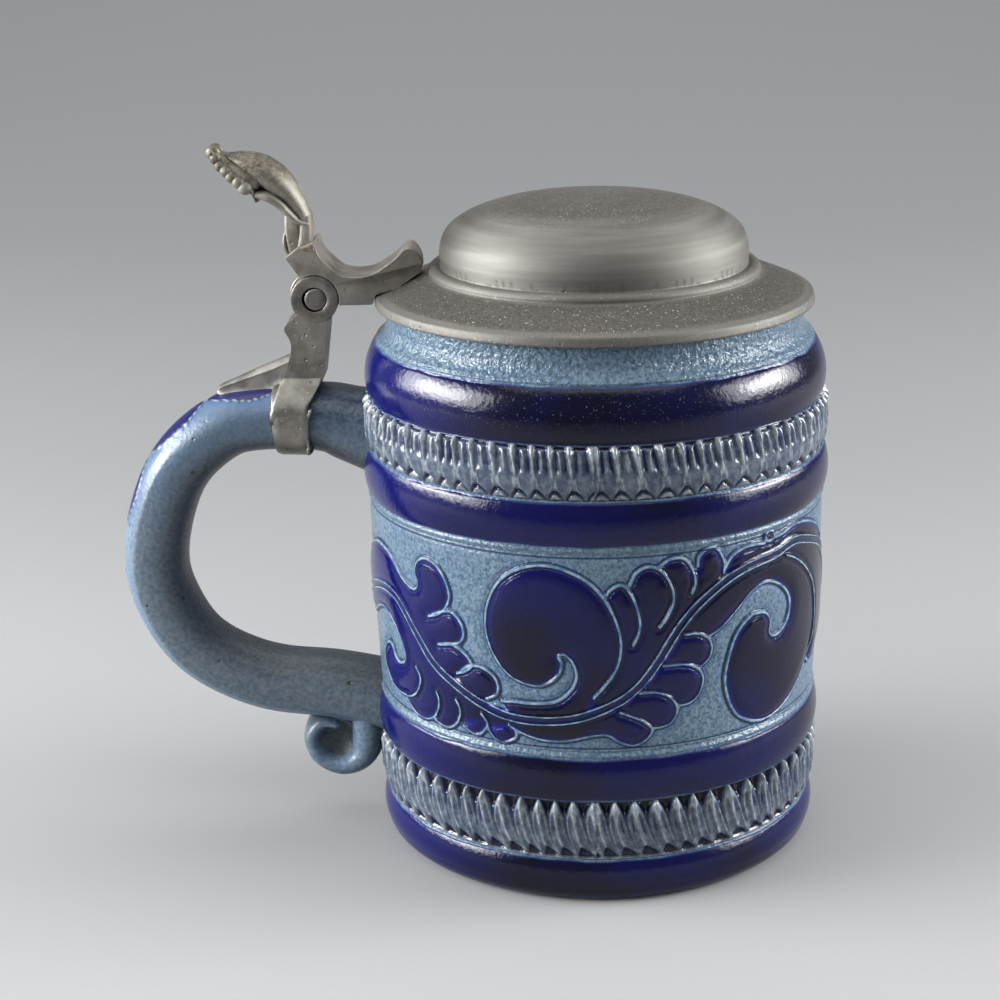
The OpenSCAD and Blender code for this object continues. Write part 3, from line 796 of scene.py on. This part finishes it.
def upper_leaves(tt, off, mid, strong):
    """Ribs that open downwards round a leaf, over a row of scallops."""
    spread = np.interp(tt, [0, 0.02, 0.12, 0.25, 0.42, 0.55, 1], [0.02, 0.03, 0.20, 0.36, 0.37, 0.22, 0.10])
    tip = bump(off - 0.02, 0.15) * bump(tt - 0.85, 0.09)
    rib = bump(off, 0.085) * step(tt, 0.12, 0.2) * (0.35 + 0.65 * step(tt, 0.2, 0.55))
    rib += bump(mid, 0.075) * step(tt, 0.48, 0.6) * (1 - step(tt, 0.80, 0.9)) * strong * 0.8
    rib += 0.8 * bump(mid - spread, 0.05) * (1 - step(tt, 0.35, 0.55))
    body = np.sqrt(np.clip(1 - (mid / spread) ** 2, 0, 1)) * (1 - step(tt, 0.45, 0.62)) * step(tt, 0.0, 0.1)
    hollow = bump(off - 0.26, 0.10) * step(tt, 0.46, 0.6) * (1 - step(tt, 0.86, 0.93)) * strong
    roof = 0.15 * (1 - (np.minimum(off, 0.45) / 0.45) ** 2) + 0.02
    arch = bump(tt - roof, 0.03) * step(0.5 - off, 0.02, 0.1)
    cup = step(roof - 0.03 - tt, 0.0, 0.03) * step(0.42 - off, 0.0, 0.1)
    gap = step(tt, 0.89, 0.93) * step(off, 0.13, 0.24)
    return rib, body, hollow, tip, cup, arch, gap


def build_gadroons(name, z0, z1, lower):
    """Ring of pressed leaves: each leaf is one turn of s, and tt runs up the row."""
    per = 16
    ss, tt = np.meshgrid(np.arange(LEAVES * per) / per, np.linspace(0, 1, int((z1 - z0) / 0.27)),
                         indexing="ij")
    vary = rng.random((LEAVES + 2, 4))
    sway = np.sin(ss * 0.21 + 1)
    slip = 0.22 * np.sin(ss * 0.37) + 0.10 * np.sin(ss * 1.3)  # rolled by hand, never quite even
    lean = (0.30 + 0.12 * sway) * (tt - 1)
    if lower:
        lean = (0.62 + 0.14 * sway) * (tt - 1) * (1.25 - 0.6 * tt) + 0.13 * np.sin(np.pi * tt)
    lean = lean + slip
    s = (ss + lean) % 1.0
    who = (np.floor(ss + lean).astype(int)) % LEAVES
    strong = 0.75 + 0.5 * vary[who, 0]
    off = np.minimum(s, 1 - s)  # share of a leaf from the tip's line
    mid = np.abs(s - 0.5)  # and from the line between two tips
    rib, body, hollow, tip, cup, arch, gap = (lower_leaves if lower else upper_leaves)(tt, off, mid, strong)
    h = 0.34 * rib + 0.22 * body - 0.30 * hollow + 0.50 * tip + 0.12 * cup - 0.55 * arch - 0.60 * gap
    # Colour share: light on ribs and cups, cobalt in the hollows; the tips are pushed light as a painted
    # highlight, the arches and gaps near black as painted shade.
    wash_and_painted_light = 0.26 - 0.62 * rib - 0.05 * body + 0.42 * hollow * strong - 0.9 * tip \
        - 0.45 * cup + 0.95 * arch + 1.0 * gap + 0.22 * (vary[who, 2] - 0.5)
    edge = np.minimum(tt, 1 - tt) * (z1 - z0)
    cobalt = 1 - step(edge - 0.25 * np.cos(2 * np.pi * s) * (tt < 0.5), 0.0, 0.30)
    h *= step(edge, 0.0, 0.5)
    return relief_ring(name, ss / LEAVES * 2 * np.pi, z0 + tt * (z1 - z0), np.clip(h, -0.9, 1.0) * 1.1 - 0.15,
                       {"wash_and_painted_light": wash_and_painted_light, "cobalt": cobalt})


# ---------------------------------------------------------------- handle
ROOT_TOP, ROOT_LOW, REACH, HANDLE_W = H - 25.7, 30.2, 46.5, 17.0
FOOT = ROOT_TOP + 9.2  # foot of the hinge strap, on the band's saddle
KEY_STEPS = 44  # stations of the handle's path from one key to the next
HANDLE_KEYS = [(-0.06, 0.945, 17.6, 1.14), (0.07, 0.972, 15.6, 1.04), (0.2, 1, 14, 1), (0.5, 0.993, 12.8, 1),
               (0.68, 0.951, 13.2, 1), (0.89, 0.789, 13.3, 1), (1.0, 0.49, 13.4, 1), (0.93, 0.28, 13.3, 1),
               (0.78, 0.128, 13, 1), (0.5, 0.026, 13.5, 1), (0.2, 0, 13.9, 1), (-0.07, -0.045, 14.4, 1.05)]
HANDLE_PATH = eased(smooth([(-(F + a * REACH), ROOT_LOW + b * (ROOT_TOP - ROOT_LOW), t, w * HANDLE_W)
                            for a, b, t, w in HANDLE_KEYS], KEY_STEPS))
SCROLL_PATH = smooth([(-50, 27, 8, 14.6), (-49.8, 19, 7.4, 14.4), (-51.4, 14.4, 6.2, 14.2),
                      (-55.8, 12.7, 5, 14), (-60.4, 14.8, 4.2, 13.6), (-62.1, 19.2, 3.8, 13.2),
                      (-59.9, 22.6, 3.4, 12.6), (-56.6, 22.4, 3, 12)], 16)


def plain(shape, outward):
    """Attributes of a handle piece without leaves."""
    flat = np.broadcast_to(0.0, shape)
    return {"outward": outward + flat, "leaf": flat + 6, "bead": flat, "root": flat, "upper": flat}


def build_loop():
    """Round loop with three cobalt leaves in relief on its crest."""
    centre = HANDLE_PATH[:, :2]
    rings = swept(HANDLE_PATH, 112)
    # 'outward' is 1 on the crest and -1 on the side towards the fingers
    ang = np.linspace(0, 2 * np.pi, rings.shape[1], endpoint=False)
    out = np.broadcast_to(-np.cos(ang), rings.shape[:2])
    along = np.r_[0, np.cumsum(np.hypot(*np.diff(centre, axis=0).T))][:, None]
    # way from the crest, measured over the curved surface in mm
    girth = np.r_[0, np.cumsum(np.linalg.norm(np.diff(rings[len(rings) // 3], axis=0), axis=1))]
    across = np.abs(girth - girth[len(girth) // 2])[None, :]
    band_end = along[np.argmin(np.abs(centre[:, 0] + 67.5) + (centre[:, 1] < 80) * 99)]
    s = along - band_end
    leaf = np.full(rings.shape[:2], 6.0)
    for start, length, half in ((-2.5, 13.6, 6.4), (11.8, 13.4, 6.6), (25.8, 13.6, 5.8)):
        x = (s - start) / length
        width = half * np.clip(4 * x * (1 - x), 0, 1) ** 0.6 * (1 - 0.18 * x)
        scallop = 0.18 * np.cos(s * 2 * np.pi / 1.9)
        beyond = np.hypot(across, np.where(x < 0, -x, x - 1) * length)
        leaf = np.minimum(leaf, np.where((x > 0) & (x < 1), across - width - scallop, beyond))
    bead = 0.5 + 0.5 * np.cos(s * 2 * np.pi / 1.3 + across * 1.2)
    h = 0.30 * step(-leaf, -0.1, 0.7) + 0.22 * bump(leaf, 0.35) * (0.45 + 0.55 * bead)
    h = h + 0.22 * bump(across - 8.6, 0.8) * step(s, 14, 34)
    root = step(band_end - along, 6.5, 8.5) * step(out, -0.35, 0.35)
    upper = step(centre[:, 1][:, None] + 0 * out, 62, 84) * step(out, -0.6, 0.2)
    way = rings - np.insert(centre, 1, 0, axis=1)[:, None, :]
    way /= np.linalg.norm(way, axis=2, keepdims=True)
    return grid(rings + way * h[..., None], wrap_v=True, name="handle_loop",
                attrs={"outward": out, "leaf": leaf, "bead": bead, "root": root, "upper": upper})


def build_handle():
    """Loop, rolled tail, and the dished wall in the middle of the roll."""
    loop = build_loop()
    rings = swept(rounded_ends(SCROLL_PATH), 64, 0.8)
    ang = np.linspace(0, 2 * np.pi, rings.shape[1], endpoint=False)
    tail = grid(rings, wrap_v=True, name="handle_tail",
                attrs=plain(rings.shape[:2], 0.65 - 0.75 * np.cos(ang)))
    rad = np.linspace(0, 5.0, 22)
    face = revolved_y(np.stack([rad, -2.6 - 2.6 * (rad / 5.0) ** 1.7], 1), 72, -56.2, 18.7)
    pts = np.concatenate([face, face[:, ::-1] * (1, -1, 1)], 1)
    curl = grid(pts, wrap_u=True, name="handle_curl", attrs=plain(pts.shape[:2], -0.7))
    return [loop, tail, curl]


# ---------------------------------------------------------------- pewter on the handle
def build_band():
    """Band round the handle: a sleeve with eased rims, and a saddle under the strap."""
    sub = HANDLE_PATH[int(KEY_STEPS * 2.15):int(KEY_STEPS * 2.72) + 1:3]
    grow = np.full((len(sub), 1), 2.3)
    grow[[0, -1]] = 1.5
    shell = [swept(np.hstack([sub[:, :2], sub[:, 2:] + g]), 96) for g in (grow, 0.1)]
    sleeve = bevel(grid(np.concatenate([shell[0], shell[1][::-1]]), wrap_u=True, wrap_v=True), 0.2, 2, 40)
    # saddle: square foot under the strap, flaring to the band's full width
    levels = [(FOOT + 0.1, -64.6, -56.5, 4.5), (FOOT - 0.5, -64.9, -56.5, 4.7),
              (FOOT - 1.6, -65.6, -57.0, 6.1), (ROOT_TOP + 5.9, -66.2, -57.9, 7.7),
              (ROOT_TOP + 4.3, -66.9, -59.0, 9.0), (ROOT_TOP + 2.6, -67.3, -59.4, 9.5),
              (ROOT_TOP + 0.5, -67.4, -59.5, 9.4)]
    a = np.linspace(0, 2 * np.pi, 64, endpoint=False)
    cos, sin = (np.sign(c) * np.abs(c) ** 0.14 for c in (np.cos(a), np.sin(a)))
    saddle = grid(np.array([np.stack([(x0 + x1) / 2 + (x1 - x0) / 2 * cos, w * sin, np.full(64, z)], -1)
                            for z, x0, x1, w in levels]), wrap_v=True)
    # cast flash along the band's edge towards the vessel
    z = np.linspace(ROOT_TOP + 3.5, ROOT_TOP - 6.0, 26)
    x = np.interp(z, [ROOT_TOP - 6, ROOT_TOP - 1, ROOT_TOP + 3.5], [-59.3, -60.0, -59.0])
    wob = 0.45 * np.sin(z * 1.9) + 0.3 * np.sin(z * 4.1 + 1)
    path = np.stack([x + wob * 0.35 + 0.1, z, 0.9 + 0.2 * np.sin(z * 3.1) ** 2, np.full(26, 18.4)], -1)
    return [sleeve, saddle, grid(swept(path, 48, 0.35), wrap_v=True)]


def build_fin():
    """Fin from the strap down to the handle's crest: flat sides under a rounded back."""
    stations = [(-79.2, -3.0, -3.9, 0.9), (-78.4, -2.2, -4.2, 1.3), (-75.0, -0.7, -3.7, 1.8),
                (-71.0, 1.1, -3.2, 2.2), (-67.5, 2.6, -2.8, 2.5), (-64.8, 3.7, -1.2, 2.6),
                (-63.0, 4.4, -0.8, 2.6)]
    # share of the half width, and share of the height below the top
    side = [(0.15, 0), (0.55, 0.10), (0.86, 0.24), (0.80, 0.32), (0.80, 0.60), (0.86, 0.85), (1.0, 1.0)]
    side = np.array([(-y, d) for y, d in side] + side[::-1])
    rings = np.array([[(x, y * w, FOOT + top - d * (top - low)) for y, d in side]
                      for x, top, low, w in stations])
    return bevel(grid(np.stack([smooth(rings[:, k], 4) for k in range(len(side))], 1), wrap_v=True),
                 0.15, 2, 35)


def build_strap():
    back = smooth([(-61.7, H - 3.4), (-64.0, H - 5.9), (-63.0, H - 8.4), (-62.8, H - 10.6), (-63.6, H - 13.6),
                   (-64.7, ROOT_TOP + 9.0)], 5)

    def line(r):
        return [(-56.3, ROOT_TOP + 9.0), (-54.9, H - 4.6)] \
            + hinge_arc(r, (-41, -58, -75, -92, -110, -128, -140)) + [tuple(p) for p in back]

    def width(x, z):
        return 4.3 + 1.65 * float(step(np.array(z + 0.45 * (x + 58)), 107.6, 111.6))

    stem = plate(line(4.2), 4.3, 0.3, slotted(line, 4.2, 5.06, 4.2), width)
    cam = knuckle(-KNUCKLE / 2 + 0.05, KNUCKLE / 2 - 0.05, shift=-0.7)
    outer = [knuckle(y, y + KNUCKLE, 0.16, 2.56) for y in (-6.0, 6.0 - KNUCKLE)]
    return [stem, outer[0], cam, outer[1]]


def build_pin():
    """Pin, set slightly askew in its holes."""
    r = 2.3
    half = [(r, 5.7), (r - 0.12, 5.88), (r - 0.5, 5.95), (0, 5.97)]
    prof = [(x, -y) for x, y in half[::-1]] + half
    return [grid(revolved_y(prof, 64, HINGE_X + 0.21, HINGE_Z + 0.02), wrap_u=True)]


# ---------------------------------------------------------------- lid
def build_lid():
    n, b = F - 5, H
    outside = outline(
        (n + 0.95, b - 0.8), (n + 1.2, b - 0.92), (n + 2.05, b - 0.93), (n + 2.22, b - 0.88),
        (n + 2.3, b - 0.72), (n + 2.26, b - 0.4), (n + 1.98, b + 0.66), (n + 1.88, b + 0.85),
        (n + 1.72, b + 0.96), (n + 1.2, b + 1.14), (34.6, b + 4.9, 0.12),
        (34.3, b + 5.0), (34.15, b + 5.2), (34.25, b + 5.5), (32.7, b + 6.75, 0.42, 10),
        (32.2, b + 6.7), (31.85, b + 6.5), (31.7, b + 6.6), (31.68, b + 7.0))
    dome = [(31.68, 7.0), (31.75, 9.2), (31.4, 11.6), (30.3, 13.8), (28.1, 15.7), (24.5, 17.5), (20, 18.85),
            (15, 19.75), (10, 20.3), (5, 20.58), (0, 20.65)]
    outside += [(max(0.0, x), b + z) for x, z in smooth(dome, 7)[1:]]
    vault = [(0, 18.9), (5, 18.8), (10, 18.45), (15, 17.9), (20, 17.05), (24, 15.75), (27, 13.9), (29, 11.6),
             (29.9, 9), (30, 6)]
    inside = [(x, b + z) for x, z in smooth(vault)] + [
        (30.04, b + 4.2), (30.12, b + 3.85), (30.4, b + 3.6), (31.2, b + 3.45), (34, b + 2.95),
        (n - 4.4, b + 1.7), (n - 4.1, b + 1.58), (n - 3.65, b + 1.2), (n - 3.6, b + 0.15),
        (n - 3.4, b + 0.08), (n + 0.55, b + 0.07), (n + 0.7, b - 0.05), (n + 0.8, b - 0.7)]
    ob = lathe("lid_shell", outside[::-1] + inside[::-1])
    v = np.empty(len(ob.data.vertices) * 3)
    ob.data.vertices.foreach_get("co", v)
    x, y, z = v.reshape(-1, 3).T / MM
    r = np.hypot(x, y)
    flange = step(r, 34.6, 35.4) * (1 - step(r, 42.6, 44.2)) + 0.35 * step(r, 43.6, 44.4)
    flange += 0.5 * step(r, 31.6, 32.2) * (1 - step(r, 34.6, 35.4)) * (z < b + 7)
    # Crown: dust flecks, and a darker colour there that is painted shade.
    crown = (1 - step(r, 16, 29)) * step(z, b + 13, b + 17)
    top = np.array(outside[6:])[::-1]
    under = np.interp(r, top[:, 0], top[:, 1]) - z > 0.6
    dust_and_shade = np.where(under, 0.6, np.clip(flange + 0.85 * crown, 0, 1))
    layer = ob.data.attributes.new("dust_and_shade", "FLOAT", "POINT")
    layer.data.foreach_set("value", dust_and_shade.astype(np.float32))
    return ob


def build_tang():
    top = smooth([(-35.2, H + 6.4), (-35.3, H + 8.2), (-36.6, H + 10.1), (-38.5, H + 10.5), (-41.2, H + 8.1),
                  (-46, H + 5.3), (-51.3, H + 5.3), (-54.6, H + 7.8), (-56.1, H + 9.7), (-56.8, H + 11.7)])

    def line(r):
        return [(-48, HINGE_Z - 1.2), (-45.4, HINGE_Z - 1.1), (-44.6, HINGE_Z + 0.9), (-40, H + 2.7),
                (-35.6, H + 5.3)] + [tuple(p) for p in top] \
            + [(-57.2, H + 12.1), (-57.7, H + 11.9), (-59.3, H + 11.2), (-60.2, H + 11.2), (-63, H + 9.1),
               (-60.4, HINGE_Z + 5.0)] + hinge_arc(r, (112, 97, 82, 67, 52, 37, 22, 7, -6)) \
            + [(HINGE_X + math.sqrt(r * r - 1.44), HINGE_Z - 1.2)]

    def width(x, z):
        return 6.0 if x < -41 else math.sqrt(max(36 - (x + 41) ** 2, 0.8))

    arm = plate(line(5.15), 6.0, 0.4, slotted(line, 5.15, 4.2, 5.85), width)
    return [arm] + [knuckle(y + 0.1, y + 0.1 + KNUCKLE - 0.2, bore=2.6)
                    for y in (-6 + KNUCKLE, -6 + 3 * KNUCKLE)]


# ---------------------------------------------------------------- thumblift
def strip(stations, power, k, ends=True):
    """Tapering strip through stations of (x, height, thickness, width)."""
    path = smooth(stations, 8)
    path[:, 2:] = np.maximum(path[:, 2:], 0.15)
    return grid(swept(rounded_ends(path) if ends else path, k, power), wrap_v=True)


def ball(at, r, squash=(1, 1, 1)):
    bm = bmesh.new()
    bmesh.ops.create_icosphere(bm, subdivisions=3, radius=r)
    ob = object_from([np.multiply(v.co, squash) + at for v in bm.verts],
                     [[v.index for v in f.verts] for f in bm.faces])
    bm.free()
    return ob


def build_thumblift():
    parts = [
        # swelling lobe from the tip down to its lip
        strip([(-75.2, 145.6, 1.0, 3.0), (-73.6, 145.2, 2.2, 5.6), (-71.2, 144.4, 4.2, 8.0),
               (-68.2, 143.0, 5.8, 9.6), (-65.2, 141.0, 6.0, 9.8), (-62.6, 138.3, 5.2, 8.6),
               (-60.7, 135.6, 4.2, 7.2), (-59.1, 133.1, 3.0, 6.2)],
              0.92, 48),
        # ribbon that curls under the lobe
        strip([(-68.6, 137.9, 1.8, 8.6), (-66.2, 137.5, 2.6, 9.6), (-63.9, 136.0, 2.5, 9.4),
               (-62.0, 133.9, 2.1, 8.6), (-60.2, 132.3, 1.6, 7.6), (-58.3, 131.7, 1.3, 6.8)], 0.7, 36),
        # flat band between the lobe and the beads
        strip([(-77.6, 147.0, 1.0, 4.6), (-75.6, 145.2, 1.8, 6.6), (-73.2, 143.3, 2.6, 8.0),
               (-70.6, 141.6, 3.4, 9.0), (-68.6, 140.4, 3.0, 8.6)], 0.45, 36),
        # lip behind the last bead
        strip([(-69.6, 139.6, 1.2, 8.4), (-69.2, 138.2, 1.0, 8.6), (-68.7, 136.6, 0.9, 7.6)], 0.7, 32),
        # back of the pad under the beads
        strip([(-78.0, 146.4, 1.6, 4.2), (-76.4, 144.4, 2.0, 6.2), (-74.2, 142.2, 2.2, 7.8),
               (-71.6, 140.2, 2.2, 8.4), (-69.4, 138.6, 2.0, 7.8)], 0.8, 36),
        # stem: panel behind, column in front, and a thin raised edge
        strip([(-61.6, 134.4, 3.0, 5.6), (-61.6, 131.6, 3.4, 5.8), (-61.5, 129.0, 3.4, 5.8),
               (-61.0, 126.0, 3.4, 5.8)],
              0.35, 32, ends=False),
        strip([(-59.0, 133.4, 2.8, 6.6), (-58.9, 131.2, 2.9, 6.4), (-59.1, 128.8, 3.2, 6.4),
               (-59.6, 126.2, 3.4, 6.4)],
              0.6, 36, ends=False),
        strip([(-62.9, 130.4, 0.6, 5.0), (-63.3, 128.9, 0.9, 5.4), (-63.3, 127.0, 1.0, 5.6),
               (-62.6, 125.4, 1.0, 5.4)],
              0.5, 24),
    ]
    # three beads side by side at each step down the pad, and two pairs at its tip
    for i, (x, z) in enumerate([(-76.6, 145.3), (-75.6, 143.9), (-74.5, 142.8), (-73.3, 141.7),
                                (-72.0, 140.6), (-70.6, 139.6)]):
        w = 2.7 + 0.35 * min(i, 4)
        for side in (-1, 1):
            dx, dz, dr = rng.random(3) * 0.3 - 0.15
            parts.append(ball((x + dx, side * w, z + dz), 1.22 + 0.05 * i + 0.5 * dr, (1.0, 0.8, 1.0)))
        parts.append(ball((x - 0.6, 0, z - 0.55), 1.0 + 0.05 * i, (0.9, 2.2, 0.9)))
    for side in (-1, 1):
        parts.append(ball((-77.2, side * 1.8, 146.4), 1.55, (1.0, 0.7, 0.95)))
        parts.append(ball((-77.4, side * 2.7, 146.4), 0.62))
    return parts


def build_solder():
    """Solder run into the corner between the tang and the thumblift, on both sides."""
    corners = [(-59.5, H + 10.8), (-58.0, H + 10.3), (-56.8, H + 10.4), (-57.0, H + 11.2), (-57.3, H + 11.9),
               (-57.8, H + 11.7)]
    parts = [plate(corners, 0.8, 0.2) for _ in range(2)]
    for patch, side in zip(parts, (-1, 1)):
        patch.data.transform(Matrix.Translation((0, side * 5.35 * MM, 0)))
    return parts


# ---------------------------------------------------------------- put together
def dress(ob, material, body, node=None):
    ob.data.materials.append(material)
    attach(ob, body)
    if node:
        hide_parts(node)


gadroon_mat = stoneware_gadroons()
vessel, frieze = build_vessel(), build_frieze()
upper = build_gadroons("vessel_gadroons_upper", *RELIEF[2], False)
lower = build_gadroons("vessel_gadroons_lower", *RELIEF[0], True)
dress(vessel, stoneware_bands(), "stein", "mug_body")
dress(frieze, stoneware_frieze(), "stein")
dress(upper, gadroon_mat, "stein")
dress(lower, gadroon_mat, "stein")

handle_mat = stoneware_handle()
for ob, node in zip(build_handle(), ("handle", None, None)):
    dress(ob, handle_mat, "stein", node)

for name, parts, body, slot, node, material in (
        ("band_cast", build_band(), "stein", "pewter", "handle_band",
         cast_pewter("band_pewter", (118, 115, 108), (150, 148, 140), 0.46, 0.3)),
        ("tail_fin_cast", [build_fin()], "stein", "pewter", "tail_fin",
         cast_pewter("fin_pewter", (126, 124, 118), (160, 158, 153), 0.44, 0.25)),
        ("strap_cast", build_strap(), "stein", "dull_pewter", "hinge_strap",
         cast_pewter("strap_pewter", (108, 105, 100), (136, 132, 126), 0.44, 0.12)),
        ("pin_turned", build_pin(), "stein", "pin_metal", "hinge_pin",
         cast_pewter("pin_pewter", (96, 94, 90), (130, 128, 124), 0.42, 0.1)),
        ("tang_cast", build_tang(), "lid_unit", "dull_pewter", "lid_tang",
         cast_pewter("tang_pewter", (128, 124, 117), (158, 152, 144), 0.52, 0.12, metal=0.75)),
        ("thumblift_cast", build_thumblift(), "lid_unit", "pewter", "thumblift",
         cast_pewter("thumb_pewter", (122, 119, 109), (160, 157, 149), 0.64, 0.25, top_shade=(0.1385, 0.1435))),
        ("solder_run", build_solder(), "lid_unit", "solder", "thumblift_solder", solder_brass())):
    dress(join(name, parts), material, body, node)
dress(build_lid(), turned_pewter(), "lid_unit", "lid")

# ---------------------------------------------------------------- floor, light, camera
sweep = outline((-4000, 0), (-1500, 0), (0, 0), (500, 0))
sweep += bow((600, 0), (1900, 1300), 0.29 * 1300, 24) + [(1900, 2000), (1900, 3500)]
floor = grid(np.array([[(x, y, z) for y, z in sweep] for x in (-5000, 0, 5000)], float),
             name="floor", merge=0)
paper = Mat("studio_paper")
tone = paper.blend(paper.noise(3, 2), 0.3, 0.7, (146, 147, 148), (150, 151, 152))
# Painted shade: the paper turns darker towards the back and towards the camera.
tone = paper.blend(paper.axis(1), -0.10, 0.32, tone, (131, 132, 133))
tone = paper.blend(paper.axis(1), -0.12, -0.42, tone, (116, 117, 118))
floor.data.materials.append(paper.set(Base_Color=tone, Roughness=0.85, Specular_IOR_Level=0.1))

for name, at, aim, size, power in (
        ("soft_left", (-0.79, -0.11, 0.34), (0, 0, 0.07), (0.86, 0.42), 11.5),
        ("soft_left_core", (-0.77, -0.11, 0.335), (0, 0, 0.07), (0.44, 0.22), 6.0),
        ("soft_right", (0.80, 0.03, 0.35), (0, 0, 0.07), (0.76, 0.42), 7.5),
        ("soft_right_core", (0.78, 0.03, 0.345), (0, 0, 0.07), (0.38, 0.20), 5.5),
        ("soft_front", (0.0, -0.5, 1.2), (0, 0, 0), (1.6, 0.8), 6.0),
        ("soft_top", (0.0, 0.9, 2.1), (0, 1.2, 0.1), (3.0, 1.6), 32.0)):
    light = bpy.data.lights.new(name, "AREA")
    light.shape = "RECTANGLE"
    light.size, light.size_y = size
    light.energy = power
    ob = bpy.data.objects.new(name, light)
    ob.location = at
    ob.rotation_euler = (Vector(aim) - Vector(at)).to_track_quat("-Z", "Y").to_euler()
    bpy.context.scene.collection.objects.link(ob)

world = bpy.data.worlds.new("studio")
bpy.context.scene.world = world
world.use_nodes = True
world.node_tree.nodes["Background"].inputs[0].default_value = (0.97, 0.98, 1.0, 1)
world.node_tree.nodes["Background"].inputs[1].default_value = 0.21
bpy.context.scene.view_settings.view_transform = "Standard"

PITCH, YAW, ROLL = (math.radians(a) for a in (17.107, -2.464, -1.092))
ahead = Vector((math.sin(YAW) * math.cos(PITCH), math.cos(YAW) * math.cos(PITCH), -math.sin(PITCH)))
right = ahead.cross(Vector((0, 0, 1))).normalized()
up = right.cross(ahead)
right, up = right * math.cos(ROLL) + up * math.sin(ROLL), up * math.cos(ROLL) - right * math.sin(ROLL)
cam_data = bpy.data.cameras.new("camera")
cam_data.lens, cam_data.sensor_width = 83.39, 36
cam = bpy.data.objects.new("camera", cam_data)
cam.matrix_world = Matrix((
    (right.x, up.x, -ahead.x, 0.0),
    (right.y, up.y, -ahead.y, -0.470),
    (right.z, up.z, -ahead.z, 0.2164),
    (0, 0, 0, 1)))
cam_data.clip_start = 0.01
bpy.context.scene.collection.objects.link(cam)
bpy.context.scene.camera = cam
